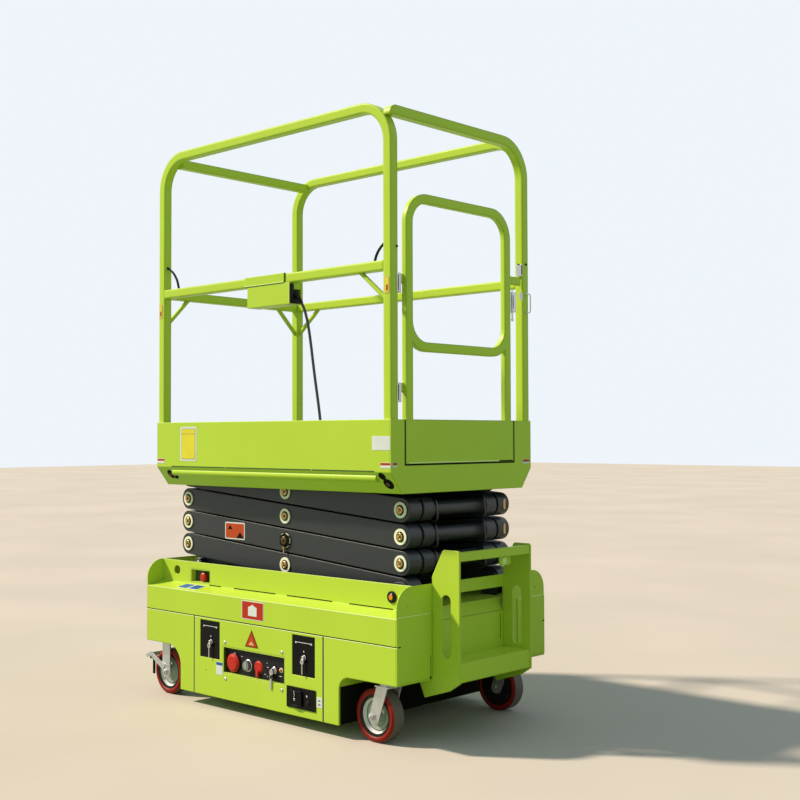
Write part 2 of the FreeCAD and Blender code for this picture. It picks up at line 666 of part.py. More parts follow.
belly_pan()
scissor_bed()
node(gather("side_covers", side_cover(True), side_cover(False)), "side_covers")
node(gather("service_panels", service_panel(True), service_panel(False)), "service_panels")
panel_windows()
ground_tray, ground_knobs = ground_controls()
wall_tray, wall_knobs = wall_controls()
node(gather("control_trays", ground_tray, wall_tray), "control_trays")
node(gather("red_buttons", *(ground_knobs + wall_knobs)), "red_buttons")
node(gather("end_plates", end_plate(True), end_plate(False)), "end_plates")
heavy_blocks()


# Ladder at the entry end
def ladder():
    """Two side plates with hand slots, a step pan and a handrail bar between them."""
    wall_x = half + s.seat_gap
    under = s.corner_level - s.seat_gap
    reach = ladder_front
    back = half - s.ladder_foot_inset
    foot = under - s.ladder_foot_drop
    plates = []
    for name, low, high in (("near", s.ladder_near_y, s.ladder_near_y + s.ladder_sheet),
                            ("far", s.ladder_far_y - s.ladder_sheet, s.ladder_far_y)):
        corners = [
            (back, under), (back, under - s.ladder_foot_drop / 4), (back + s.ladder_foot_run, foot),
            (reach - s.ladder_nose_run, foot + s.ladder_nose_rise), (reach, under), (reach, s.ladder_top),
            (reach - s.ladder_top_run, s.ladder_top), (wall_x, s.ladder_top - s.ladder_top_drop), (wall_x, under),
        ]
        plate = outline("ladder_plate_" + name, "XZ", corners, (low, high), [(s.ladder_corner, [5, 6])])
        slot_x = (reach - s.hand_slot_setback - s.hand_slot_width, reach - s.hand_slot_setback)
        slot_z = (s.hand_slot_low, s.hand_slot_high)
        hole = [(slot_x[0], slot_z[0]), (slot_x[1], slot_z[0]), (slot_x[1], slot_z[1]), (slot_x[0], slot_z[1])]
        slot = outline("ladder_slot_" + name, "XZ", hole, (low - s.ladder_sheet, high + s.ladder_sheet),
                       [(s.hand_slot_width * 0.48, [0, 1, 2, 3])])
        plates.append(cut("ladder_side_" + name, plate, slot))
    between = (s.ladder_near_y + s.ladder_sheet, s.ladder_far_y - s.ladder_sheet)
    pan = s.skin
    step = [
        (wall_x, s.step_level - pan), (reach - 2 * pan, s.step_level - pan), (reach - 2 * pan, s.step_lip_level),
        (reach - pan, s.step_lip_level), (reach - pan, s.step_level), (wall_x, s.step_level),
    ]
    tread = outline("ladder_step", "XZ", step, between)
    grip = block("ladder_grip", (reach - 2 - s.grip_thick, reach - 2), between, (s.grip_low, s.grip_low + s.grip_tall))
    node(fuse("ladder", tread, grip, *plates), "ladder")


ladder()

# Wheels and forks
leg_in = s.wheel_width / 2 + s.fork_side_gap
leg_out = leg_in + s.fork_sheet
plate_top = s.corner_level - s.seat_gap
axle_bore = s.axle_radius + s.pin_play


def wheel(place, x):
    """Tyre and hub of one wheel, near and far."""
    wide = s.wheel_width / 2
    rim = s.wheel_radius - s.tread_depth
    for twin, y in (("near", -s.wheel_y), ("far", s.wheel_y)):
        label = "%s_%s" % (place, twin)
        tyre = revolve("tyre_" + label, "y", (x, y, s.wheel_radius), [
            (-wide + 3, rim), (-wide, rim + 4), (-wide, rim + 10), (-wide + 5, s.wheel_radius),
            (wide - 5, s.wheel_radius), (wide, rim + 10), (wide, rim + 4), (wide - 3, rim)])
        node(tyre, "tyre_" + label)
        inside = rim - s.seat_gap
        hub = revolve("hub_" + label, "y", (x, y, s.wheel_radius), [
            (-wide, axle_bore), (-wide, 18), (-10, 24), (-10, inside - 10), (-wide + 3, inside - 7), (-wide + 3, inside),
            (wide - 3, inside), (wide - 3, inside - 7), (10, inside - 10), (10, 24), (wide, 18), (wide, axle_bore)])
        node(hub, "hub_" + label)


def fork_legs(name, x_top, x_axle, y, top, width):
    """Two legs from the fork's top down to the axle, and the axle between them."""
    foot = s.wheel_radius - width / 2
    pieces = []
    for number, (low, high) in enumerate(((y - leg_out, y - leg_in), (y + leg_in, y + leg_out))):
        corners = [
            (x_top - width / 2, top), (x_axle - width / 2, foot), (x_axle + width / 2, foot), (x_top + width / 2, top)]
        pieces.append(outline("%s_leg_%d" % (name, number), "XZ", corners, (low, high), [(width * 0.45, [1, 2])]))
    pieces.append(rod(name + "_axle", "y", (x_axle, s.wheel_radius), s.axle_radius, (y - leg_out - 4, y + leg_out + 4)))
    return pieces


def fixed_forks():
    """Back wheel forks with their top plates, and the brake pedals on them."""
    x = fixed_axle_x
    pedals = []
    forks = []
    for twin, sign in (("near", -1), ("far", 1)):
        y = s.wheel_y * sign
        name = "fixed_fork_" + twin
        plate = block(name + "_plate", (x - s.fork_plate_length / 2, x + s.fork_plate_length / 2),
                      (y - s.fork_plate_width / 2, y + s.fork_plate_width / 2), (plate_top - 6, plate_top))
        forks.append(fuse(name, plate, *fork_legs(name, x, x, y, plate_top - 6, s.fork_leg_width)))
        tip = -s.pedal_reach
        arm = [(x - 14, 84), (x - 4, 104), (tip + 30, 142), (tip, 128), (tip + 4, 118), (tip + 28, 126)]
        low = y - leg_out - 4 if sign < 0 else y + leg_out
        lever = outline("pedal_arm_" + twin, "XZ", arm, (low, low + 4))
        pad_y = (low, y + 22) if sign < 0 else (y - 22, low + 4)
        pad = outline("pedal_pad_" + twin, "XZ", [(tip, 128), (tip + 4, 118), (tip + 18, 122), (tip + 16, 135)], pad_y)
        pedals.append(fuse("brake_pedal_" + twin, lever, pad))
    node(gather("brake_pedals", *pedals), "brake_pedals")
    return forks


def swivel_forks():
    """Entry wheel forks, which turn under the chassis, and the plates that carry them."""
    x = swivel_axis_x
    plates = []
    race_top = plate_top - 5
    race_split = race_top - 6
    roof_top = race_split - s.seat_gap - 4
    for twin, sign in (("near", -1), ("far", 1)):
        y = s.wheel_y * sign
        name = "swivel_fork_" + twin
        plate = block("swivel_plate_base_" + twin, (x - s.fork_plate_length / 2 - 20, x + s.fork_plate_length / 2),
                      (y - s.fork_plate_width / 2, y + s.fork_plate_width / 2), (race_top, plate_top))
        race = rod("swivel_race_" + twin, "z", (x, y), 33, (race_split, race_top))
        plates.append(fuse("swivel_plate_" + twin, plate, race))
        ring = rod(name + "_ring", "z", (x, y), 31, (roof_top, race_split - s.seat_gap))
        roof = block(name + "_roof", (x - 30, x + 26), (y - leg_out, y + leg_out), (roof_top - 5, roof_top))
        node(fuse(name, ring, roof, *fork_legs(name, x, swivel_axle_x, y, roof_top, s.fork_leg_width)), name)
    return plates


node(gather("wheel_mounts", *(fixed_forks() + swivel_forks())), "wheel_mounts")
wheel("back", fixed_axle_x)
wheel("entry", swivel_axle_x)

# Scissor stack
span = half - s.pin_inset
arm_length = root(4 * span * span + s.level_rise * s.level_rise)
lean = degrees_of(s.level_rise, 2 * span)
lean_cos = 2 * span / arm_length
lean_sin = s.level_rise / arm_length
pin_bore = s.pin_radius + s.pin_play
LEVELS = 4
top_pin_level = s.pin_level + s.level_rise * LEVELS
roller_low = (s.inner_arm_out + s.roller_gap, s.inner_arm_out + s.roller_gap + s.roller_width)
roller_high = (s.outer_arm_out + s.roller_gap, s.outer_arm_out + s.roller_gap + s.roller_width)


def arm_outline():
    """Corners of an arm about its middle, rounded to near half circles at both ends."""
    reach = arm_length / 2 + s.arm_tall / 2
    tall = s.arm_tall / 2
    return [(-reach, -tall), (reach, -tall), (reach, tall), (-reach, tall)], [(s.arm_tall * 0.48, [0, 1, 2, 3])]


def along_lowest_inner(run, rise):
    """A place given along and above the lowest inner arm's middle line, as x and z."""
    middle = s.pin_level + s.level_rise / 2
    return run * lean_cos - rise * lean_sin, middle + run * lean_sin + rise * lean_cos


def bores(name, low):
    """Round holes for the two end pins and the middle pin of one level, through everything."""
    width = s.outer_arm_out + s.skin
    holes = []
    for label, x, z in (("entry_low", span, low), ("back_low", -span, low), ("middle", Size.of(0), low + s.level_rise / 2),
                        ("entry_high", span, low + s.level_rise), ("back_high", -span, low + s.level_rise)):
        holes.append((label, rod("%s_%s" % (name, label), "y", (x, z), pin_bore, (-width, width))))
    return dict(holes)


def scissor_level(number):
    """One level: the outer pair, the inner pair with its cross tubes, and the pins."""
    low = s.pin_level + s.level_rise * (number - 1)
    middle = low + s.level_rise / 2
    corners, rounds = arm_outline()
    holes = bores("bore_%d" % number, low)
    near = outline("outer_arm_%d" % number, "XZ", corners, (-s.outer_arm_out, -s.outer_arm_in), rounds,
                   (Size.of(0), middle, lean.formula))
    near = cut("outer_arm_%d_bored" % number, near, holes["entry_low"], holes["middle"], holes["back_high"])
    node(gather("outer_arms_%d" % number, near, mirror("outer_arm_%d_far" % number, near)), "outer_arms_%d" % number)
    arm = outline("inner_arm_%d" % number, "XZ", corners, (-s.inner_arm_out, -s.inner_arm_in), rounds,
                  (Size.of(0), middle, "-1 * " + lean.formula))
    pieces = [arm, mirror("inner_arm_%d_far" % number, arm)]
    tube_y = (-s.inner_arm_in, s.inner_arm_in)
    pieces.append(rod("tube_back_%d" % number, "y", (-span, low), s.tube_radius, tube_y))
    pieces.append(rod("tube_entry_%d" % number, "y", (span, low + s.level_rise), s.tube_radius, tube_y))
    if number == 1:
        x, z = along_lowest_inner(s.head_tube_run, s.head_tube_rise)
        pieces.append(rod("head_tube", "y", (x, z), s.head_tube_radius, tube_y))
        pieces.extend(head_ears(middle))
    welded = fuse("inner_arms_%d_welded" % number, *pieces)
    node(cut("inner_arms_%d" % number, welded, holes["back_low"], holes["middle"], holes["entry_high"]),
         "inner_arms_%d" % number)


def head_ears(middle):
    """Two ears from the head tube to the cylinder rod's eye, which sits between them, with the pin's ends outside."""
    inner = s.eye_width / 2 + s.ear_gap
    outer = inner + s.ear_sheet
    run = s.cylinder_head_run - s.head_tube_run
    rise = s.cylinder_head_rise - s.head_tube_rise
    length = root(run * run + rise * rise)
    ahead = (run / length, rise / length)
    half_wide = s.ear_wide / 2
    end = s.head_tube_radius

    def corner(run_at, rise_at, along, across):
        return (run_at + ahead[0] * along - ahead[1] * across, rise_at + ahead[1] * along + ahead[0] * across)

    corners = [
        corner(s.head_tube_run, s.head_tube_rise, -end, -half_wide), corner(s.cylinder_head_run, s.cylinder_head_rise, half_wide, -half_wide),
        corner(s.cylinder_head_run, s.cylinder_head_rise, half_wide, half_wide), corner(s.head_tube_run, s.head_tube_rise, -end, half_wide)]
    eye = along_lowest_inner(s.cylinder_head_run, s.cylinder_head_rise)
    ears = []
    for number, sign in enumerate((-1, 1)):
        band = (inner * sign, outer * sign) if sign > 0 else (outer * sign, inner * sign)
        ears.append(outline("head_ear_%d" % number, "XZ", corners, band, [(half_wide * 0.8, [0, 1, 2, 3])],
                            (Size.of(0), middle, "-1 * " + lean.formula)))
        cap = (outer, outer + 3) if sign > 0 else (-outer - 3, -outer)
        ears.append(rod("head_pin_end_%d" % number, "y", eye, s.pin_radius * 0.7, cap))
    return ears


def scissor_pins():
    """Pins of each level, carried by its outer pair: short ones in the middle, through ones at the ends."""
    ring = s.pin_ring_thick
    for number in range(1, LEVELS + 1):
        low = s.pin_level + s.level_rise * (number - 1)
        pins = []
        stubs = []
        stub = revolve("middle_pin_%d" % number, "y", (Size.of(0), Size.of(0), low + s.level_rise / 2), [
            (-s.outer_arm_out - ring, 0), (-s.outer_arm_out - ring, s.pin_ring_radius),
            (-s.outer_arm_out, s.pin_ring_radius), (-s.outer_arm_out, s.pin_radius),
            (-s.inner_arm_in + ring, s.pin_radius), (-s.inner_arm_in + ring, 0)])
        stubs.extend([stub, mirror("middle_pin_%d_far" % number, stub)])
        ends = []
        if number > 1:
            ends.append(("entry", span, low))
        if number < LEVELS:
            ends.append(("back", -span, low + s.level_rise))
        out = s.outer_arm_out
        for label, x, z in ends:
            pins.append(revolve("%s_pin_%d" % (label, number), "y", (x, Size.of(0), z), [
                (-out - ring, 0), (-out - ring, s.pin_ring_radius), (-out, s.pin_ring_radius), (-out, s.pin_radius),
                (out, s.pin_radius), (out, s.pin_ring_radius), (out + ring, s.pin_ring_radius), (out + ring, 0)]))
        node(gather("scissor_pins_%d" % number, *(stubs + pins)), "scissor_pins_%d" % number)


def roller_shaft(name, x, z, inner, outer):
    """A through shaft with a roller at each end, near and far."""
    end = outer + s.track_side / 2
    wheel_r = s.roller_radius
    profile = [
        (-end, 0), (-end, s.pin_radius), (-outer, s.pin_radius), (-outer, wheel_r), (-inner, wheel_r),
        (-inner, s.pin_radius), (inner, s.pin_radius), (inner, wheel_r), (outer, wheel_r), (outer, s.pin_radius),
        (end, s.pin_radius), (end, 0)]
    node(revolve(name, "y", (x, Size.of(0), z), profile), name)


def tracks(name, band, z):
    """Rails that the rollers run along, near and far."""
    x = (-span - s.track_spare, -span + s.roller_travel + s.track_spare)
    rail = block(name + "_near", x, (-band[1] - s.track_side, -band[0] + s.bracket_gap), z)
    return [rail, mirror(name + "_far", rail)]


def pivot_bracket(name, plates, pin_span, z_base, z_pin, z_tip):
    """Upright plates with a pin through them, for one side; plates and pin_span are y pairs."""
    pieces = []
    for number, band in enumerate(plates):
        corners = [(span - s.bracket_wide / 2, z_base), (span + s.bracket_wide / 2, z_base),
                   (span + s.bracket_wide / 2, z_tip), (span - s.bracket_wide / 2, z_tip)]
        pieces.append(outline("%s_plate_%d" % (name, number), "XZ", corners, band, [(s.bracket_wide * 0.35, [2, 3])]))
    pieces.append(rod(name + "_pin", "y", (span, z_pin), s.pin_radius, pin_span))
    near = fuse(name + "_near", *pieces)
    return [near, mirror(name + "_far", near)]


for level in range(1, LEVELS + 1):
    scissor_level(level)
scissor_pins()
roller_shaft("lower_rollers", -span, s.pin_level, *roller_low)
roller_shaft("upper_rollers", -span, top_pin_level, *roller_high)
bed_brackets = tracks("lower_tracks", roller_low, (bed_top, s.pin_level - s.roller_radius - s.seat_gap))
deck_brackets = tracks("upper_tracks", roller_high, (top_pin_level + s.roller_radius + s.seat_gap, deck_under))
outer_in = -s.outer_arm_in + s.bracket_gap
outer_out = -s.outer_arm_out - s.bracket_gap
bracket_tip = s.roller_radius
lower_plates = [(outer_in, outer_in + s.bracket_sheet), (outer_out - s.bracket_sheet, outer_out)]
bed_brackets += pivot_bracket("lower_pivots", lower_plates,
                              (outer_out - s.bracket_sheet - s.pin_ring_thick, outer_in + s.bracket_sheet),
                              bed_top, s.pin_level, s.pin_level + bracket_tip)
inner_out = -s.inner_arm_out - s.bracket_gap
deck_brackets += pivot_bracket("upper_pivots", [(inner_out - s.bracket_sheet, inner_out)],
                               (inner_out - s.bracket_sheet, -s.inner_arm_in + s.eye_width), deck_under,
                               top_pin_level, top_pin_level - bracket_tip)
node(gather("deck_brackets", *deck_brackets), "deck_brackets")

# Lift cylinder
foot_x = s.cylinder_foot_x
foot_z = s.cylinder_foot_level
head_x, head_z = along_lowest_inner(s.cylinder_head_run, s.cylinder_head_rise)
lift_run = head_x - foot_x
lift_rise = head_z - foot_z
lift_length = root(lift_run * lift_run + lift_rise * lift_rise)
lift_lean = degrees_of(lift_run, lift_rise)


def slanted_rod(name, radius, start, end):
    """A round bar on the cylinder's line, between two distances from its foot."""
    bar = doc.addObject("Part::Cylinder", name)
    bar.Placement = FreeCAD.Placement(Vector(), FreeCAD.Rotation(Vector(0, 1, 0), 1))
    bar.setExpression("Placement.Rotation.Angle", lift_lean.formula)
    bind(bar, Radius=radius, Height=Size.of(end) - start)
    bind(bar, Placement__Base__x=chassis_x + foot_x + lift_run / lift_length * start,
         Placement__Base__z=foot_z + lift_rise / lift_length * start)
    return bar


def lift_cylinder():
    """Barrel pinned to the bed, rod with its eye between the ears on the lowest inner arms."""
    eye_y = (-s.eye_width / 2, s.eye_width / 2)
    mouth = lift_length - s.barrel_front
    barrel = fuse("barrel_blank", slanted_rod("barrel_tube", s.barrel_radius, s.eye_radius * 1.5, mouth),
                  slanted_rod("barrel_neck", s.eye_width * 0.4, s.eye_radius * 0.7, s.eye_radius * 1.6),
                  rod("barrel_eye", "y", (foot_x, foot_z), s.eye_radius, eye_y))
    pin = s.pin_radius * 0.7
    hole = rod("barrel_eye_hole", "y", (foot_x, foot_z), pin + s.pin_play, (-s.eye_width, s.eye_width))
    bore = slanted_rod("barrel_bore", s.rod_radius + s.rod_gap, s.eye_radius * 2, mouth + s.eye_radius)
    node(cut("lift_cylinder_barrel", barrel, hole, bore), "lift_cylinder_barrel")
    piston = slanted_rod("rod_bar", s.rod_radius, s.eye_radius * 3, lift_length)
    eye = rod("rod_eye", "y", (head_x, head_z), s.eye_radius * 0.8, eye_y)
    node(fuse("lift_cylinder_rod", piston, eye), "lift_cylinder_rod")
    inner = s.eye_width / 2 + s.ear_gap
    outer = inner + s.ear_sheet
    pieces = []
    wide = s.eye_radius + 2
    tip = foot_z + s.eye_radius - s.skin
    for number, band in enumerate(((-outer, -inner), (inner, outer))):
        corners = [(foot_x - wide, bed_top), (foot_x + wide, bed_top), (foot_x + wide, tip), (foot_x - wide, tip)]
        pieces.append(outline("foot_ear_%d" % number, "XZ", corners, band, [(wide * 0.6, [2, 3])]))
    pieces.append(rod("foot_pin", "y", (foot_x, foot_z), pin, (-outer - 3, outer + 3)))
    return fuse("cylinder_foot", *pieces)


node(gather("bed_brackets", lift_cylinder(), *bed_brackets), "bed_brackets")

# Platform
board_in = s.platform_half_width - s.skin - s.seat_gap
back_in = -s.platform_back + s.skin + s.seat_gap
entry_in = s.platform_entry - s.skin - s.seat_gap
floor_top = s.deck_level - s.deck_sheet


def platform_floor():
    """Floor plate, and the checker plate that people stand on."""
    node(block("platform_floor", (back_in, entry_in), (-board_in, board_in), (deck_under, floor_top)), "platform_floor")
    node(block("tread_plate", (s.tread_plate_back_x, s.tread_plate_entry_x),
               (-s.tread_plate_half_width, s.tread_plate_half_width), (floor_top, s.deck_level)), "tread_plate")


def platform_sides():
    """Toe board and slanted skirt in one fold, with a rolled lip, near and far."""
    wide = s.platform_half_width
    fold = [
        (-wide, s.toe_top), (-wide, s.fold_level), (-s.skirt_half_width, s.skirt_level),
        (-s.skirt_half_width + s.skin, s.skirt_level), (-wide + s.skin, s.fold_level), (-wide + s.skin, s.toe_top)]
    board = outline("toe_board", "YZ", fold, (back_in, entry_in))
    slope = (wide - s.skirt_half_width) / (s.fold_level - s.skirt_level)
    lip_y = -wide + slope * (s.fold_level - s.lip_level) + s.skin / 2
    lip = rod("skirt_lip", "x", (lip_y, s.lip_level), s.lip_radius, (s.lip_back_x, s.lip_entry_x))
    near = fuse("platform_side_near", board, lip)
    node(gather("platform_sides", near, mirror("platform_side_far", near)), "platform_sides")


def platform_end(entry):
    """Hexagonal end board; the entry one is cut for the gate's kick plate."""
    name = "platform_end_entry" if entry else "platform_end_back"
    wide = s.platform_half_width
    low = s.skirt_half_width
    corners = [(-wide, s.toe_top), (-wide, s.fold_level), (-low, s.skirt_level), (low, s.skirt_level),
               (wide, s.fold_level), (wide, s.toe_top)]
    x = (s.platform_entry - s.skin, s.platform_entry) if entry else (-s.platform_back, -s.platform_back + s.skin)
    board = outline(name + "_board", "YZ", corners, x)
    if entry:
        gap = block("kick_gap", (x[0] - s.skin, x[1] + s.skin), (s.kick_near_y - s.kick_seam, s.kick_far_y + s.kick_seam),
                    (s.kick_low - s.kick_seam, s.toe_top + s.skin))
        return cut(name, board, gap)
    return board


platform_floor()
platform_sides()
node(gather("platform_ends", platform_end(True), platform_end(False)), "platform_ends")

# Guard rails
tube = s.rail_tube
post_foot = floor_top + s.seat_gap
rail_out = board_in
rail_in = rail_out - tube
mid_top = s.toe_top + (s.rail_top - s.toe_top) * 0.494
mid_low = mid_top - tube
far_rail_entry = entry_in - tube - s.seat_gap


def loop_outline(low, high, foot_low, foot_high, top, wide):
    """Corners of an upside-down U of square tube, from one foot round to the other."""
    return [
        (low, foot_low), (low, top), (high, top), (high, foot_high), (high - wide, foot_high),
        (high - wide, top - wide), (low + wide, top - wide), (low + wide, foot_low)]


def bent_tube(name, plane, corners, band, bend, wide):
    """A bent square tube from its U outline."""
    return outline(name, plane, corners, band, [(bend, [1, 2]), (bend - wide, [5, 6])])


def corner_brace(name, plane, run_end, run_start, band):
    """A thin bar from under a middle rail down to the post; run_end is at the post."""
    sign = 1 if run_end.value > run_start.value else -1
    thick = s.brace_size * 1.3
    low = mid_low - s.brace_drop
    corners = [(run_start, mid_low), (run_start + thick * sign, mid_low), (run_end, low + thick), (run_end, low)]
    return outline(name, plane, corners, band)


def guard_rails():
    """Near and far loops, the entry frame that joins them, back bars and middle rails."""
    top = s.rail_top
    bend_foot = top - s.rail_bend
    near = loop_outline(back_in, entry_in, post_foot, post_foot, top, tube)
    node(bent_tube("guard_loop_near", "XZ", near, (-rail_out, -rail_in), s.rail_bend, tube), "guard_loop_near")
    far = loop_outline(back_in, entry_in, post_foot, bend_foot - tube, top, tube)
    far = bent_tube("far_rail_blank", "XZ", far, (rail_in, rail_out), s.rail_bend, tube)
    beyond = block("far_rail_beyond", (far_rail_entry, entry_in + tube), (rail_in - tube, rail_out + tube),
                   (bend_foot - 2 * tube, top + tube))
    node(cut("guard_loop_far", far, beyond), "guard_loop_far")
    frame_top = top - s.frame_drop
    frame = [(-rail_out, frame_top), (rail_out, frame_top), (rail_out, post_foot), (rail_in, post_foot),
             (rail_in, frame_top - tube), (-rail_out, frame_top - tube)]
    frame = outline("entry_frame_blank", "YZ", frame, (entry_in - tube, entry_in),
                    [(s.rail_bend, [1]), (s.rail_bend - tube, [4]), (s.frame_end_round, [0])])
    coped = rod("entry_frame_coped", "y", (entry_in - s.rail_bend, bend_foot), s.rail_bend + s.seat_gap,
                (-rail_out - tube, -rail_in + s.seat_gap))
    node(cut("guard_frame_entry", frame, coped), "guard_frame_entry")
    mid = (mid_low, mid_top)
    brace_near = (-rail_in - tube / 2 - s.brace_size / 2, -rail_in - tube / 2 + s.brace_size / 2)
    bar = block("mid_bar_near", (back_in + tube, entry_in - tube), (-rail_out, -rail_in), mid)
    brace = corner_brace("brace_near", "XZ", entry_in - tube, entry_in - tube - s.brace_run, brace_near)
    near_rail = fuse("mid_rail_near", bar, brace)
    bar = block("mid_bar_far", (back_in + tube, far_rail_entry), (rail_in, rail_out), mid)
    brace_far = (rail_in + tube / 2 - s.brace_size / 2, rail_in + tube / 2 + s.brace_size / 2)
    brace = corner_brace("brace_far", "XZ", back_in + tube, back_in + tube + s.brace_run, brace_far)
    node(gather("mid_rails", near_rail, fuse("mid_rail_far", bar, brace)), "mid_rails")
    top_bar = block("back_bar_top", (s.back_bar_x - tube / 2, s.back_bar_x + tube / 2), (-rail_in, rail_in),
                    (top - s.back_bar_drop - tube, top - s.back_bar_drop))
    mid_bar = block("back_bar_mid", (back_in, back_in + tube), (-rail_in, rail_in), mid)
    brace_x = (back_in + tube / 2 - s.brace_size / 2, back_in + tube / 2 + s.brace_size / 2)
    run = s.brace_run * 0.8
    braces = [corner_brace("brace_back_near", "YZ", -rail_in, -rail_in + run, brace_x),
              corner_brace("brace_back_far", "YZ", rail_in, rail_in - run, brace_x)]
    node(gather("back_bars", top_bar, fuse("back_mid_rail", mid_bar, *braces)), "back_bars")


guard_rails()

# Gate
# Heights on the gate, as shares of the way from the toe boards' top up to the gate's top
GATE_SHARES = {"loop foot": 0.3, "upper hinge": 0.55, "lower hinge": 0.075, "latch": 0.5225}
# The gate's own top, as a share of the way from the toe boards' top up to the side rails' top
GATE_TOP_SHARE = 0.7174
gate_top = s.toe_top + (s.rail_top - s.toe_top) * GATE_TOP_SHARE
hinge_x = entry_in - s.gate_tube_thick + 3.3
hinge_y = (-rail_in + s.gate_near_y) / 2


def gate_level(place):
    """Height of a named place on the gate."""
    return s.toe_top + (gate_top - s.toe_top) * GATE_SHARES[place]


def hinges():
    """Two pin hinges: pins on the near post, knuckles on the gate."""
    pins = []
    knuckles = []
    half_tall = s.hinge_tall / 2
    knuckle = s.hinge_radius
    leaf = (hinge_x - 3, hinge_x + 3)
    for name in ("upper", "lower"):
        foot = gate_level(name + " hinge")
        split = foot + half_tall
        pin = rod("hinge_pin_" + name, "z", (hinge_x, hinge_y), knuckle * 0.6, (foot, foot + s.hinge_tall))
        base = rod("hinge_base_" + name, "z", (hinge_x, hinge_y), knuckle, (foot, split))
        wing = block("hinge_post_leaf_" + name, leaf, (-rail_in, hinge_y), (foot, split))
        pins.append(fuse("hinge_post_" + name, pin, base, wing))
        ring = rod("knuckle_" + name, "z", (hinge_x, hinge_y), knuckle, (split + s.seat_gap, foot + s.hinge_tall))
        wing = block("hinge_gate_leaf_" + name, leaf, (hinge_y, s.gate_near_y), (split + s.seat_gap, foot + s.hinge_tall))
        hole = rod("knuckle_hole_" + name, "z", (hinge_x, hinge_y), knuckle * 0.6 + s.pin_play, (split, foot + s.hinge_tall * 2))
        knuckles.append(cut("hinge_gate_" + name, fuse("knuckle_blank_" + name, ring, wing), hole))
    node(gather("hinge_pins", *pins), "hinge_pins")
    return knuckles


def gate(knuckles):
    """Closed loop of flat tube on two legs and the kick plate, a stop tab, and the latch on its far leg."""
    wide = s.gate_tube_wide
    near = s.gate_near_y
    far = s.gate_far_y
    x = (entry_in - s.gate_tube_thick, entry_in)
    low = gate_level("loop foot")

    def ring(name, inset, span_x):
        corners = [(near + inset, low + inset), (far - inset, low + inset), (far - inset, gate_top - inset),
                   (near + inset, gate_top - inset)]
        return outline(name, "YZ", corners, span_x, [(s.gate_bend - inset, [0, 1, 2, 3])])

    loop = cut("gate_loop", ring("gate_loop_outer", Size.of(0), x),
               ring("gate_loop_inner", wide, (x[0] - s.skin, x[1] + s.skin)))
    legs = [block("gate_leg_near", x, (near, near + wide), (s.kick_low, low + s.gate_bend)),
            block("gate_leg_far", x, (far - wide, far), (s.kick_low, low + s.gate_bend))]
    kick = block("kick_plate", (entry_in, s.platform_entry), (s.kick_near_y, s.kick_far_y), (s.kick_low, s.toe_top))
    latch_low = gate_level("latch")
    tab = block("stop_tab", (x[0] + s.skin, x[1] - s.skin), (far, rail_in - s.skin - 2),
                (latch_low + s.tab_rise, latch_low + s.tab_rise + s.tab_tall))
    node(fuse("gate_frame", loop, kick, tab, *(legs + knuckles)), "gate_frame")
    node(block("gate_latch", (x[0] + 2, x[1] - 2), (far, far + s.latch_wide), (latch_low, latch_low + s.latch_tall)),
         "gate_latch")


gate(hinges())


# Route of the control cable: x from the chassis middle, y, and the share of the way from the gland up to its start
CABLE_ROUTE = [
    (142, -308.2, 1), (158.3, -307.9, 0.9623), (170.6, -307.5, 0.9112), (183.2, -306.8, 0.8302),
    (193.7, -306, 0.7228), (202.5, -305.1, 0.6106), (211.9, -304.2, 0.4985), (222.6, -303.3, 0.3867),
    (232.2, -302.4, 0.2744), (239.5, -301.5, 0.1612), (243.1, -300.7, 0.0662), (244, -300.2, 0)]
BOOT_LENGTH = 30


def cable_points():
    """The route's points as places."""
    low = (s.deck_level + s.gland_rise).value
    high = (mid_low - s.cable_drop).value
    return [Vector(x + chassis_x.value, y, low + (high - low) * share) for x, y, share in CABLE_ROUTE]


# Control box on the near middle rail
def control_box():
    """Folded sheet holder hung on the rail, open at its entry end, with the box inside."""
    sheet_ = s.box_sheet
    x = (s.box_back_x, s.box_back_x + s.box_length)
    y_out = -rail_out - s.seat_gap - sheet_
    y_in = y_out + s.box_depth
    z = (mid_low - s.seat_gap - s.box_tall, mid_low - s.seat_gap)
    shell = block("holder_outer", x, (y_out, y_in), z)
    inner = block("holder_inner", (x[0] + sheet_, x[1] + sheet_), (y_out + sheet_, y_in - sheet_),
                  (z[0] + sheet_, z[1] - sheet_))
    gap = s.seat_gap
    hook_x = (x[0] - s.hook_over, x[1] - s.hook_short)
    hook_top = mid_top + gap
    hook_in = -rail_in + gap
    front = block("hook_front", hook_x, (y_out, y_out + sheet_), (z[1] - sheet_, hook_top + sheet_))
    cap = block("hook_cap", hook_x, (y_out, hook_in + sheet_), (hook_top, hook_top + sheet_))
    grip = block("hook_grip", hook_x, (hook_in, hook_in + sheet_), (hook_top - s.hook_grip, hook_top + sheet_))
    node(fuse("control_box_holder", cut("holder_shell", shell, inner), front, cap, grip), "control_box_holder")
    case = block("control_case", (x[0] + sheet_ + gap, x[1] - 2), (y_out + sheet_ + gap, y_out + sheet_ + gap + s.case_depth),
                 (z[0] + sheet_ + gap, z[1] - sheet_ - gap))
    boot = doc.addObject("Part::Cylinder", "cable_boot")
    start, following = cable_points()[:2]
    aim = (following - start).normalize()
    root_of_boot = start - aim * BOOT_LENGTH
    boot.Placement = FreeCAD.Placement(root_of_boot, FreeCAD.Rotation(Vector(0, 0, 1), aim))
    bind(boot, Radius=s.boot_radius, Height=BOOT_LENGTH)
    node(fuse("control_box", case, boot), "control_box")


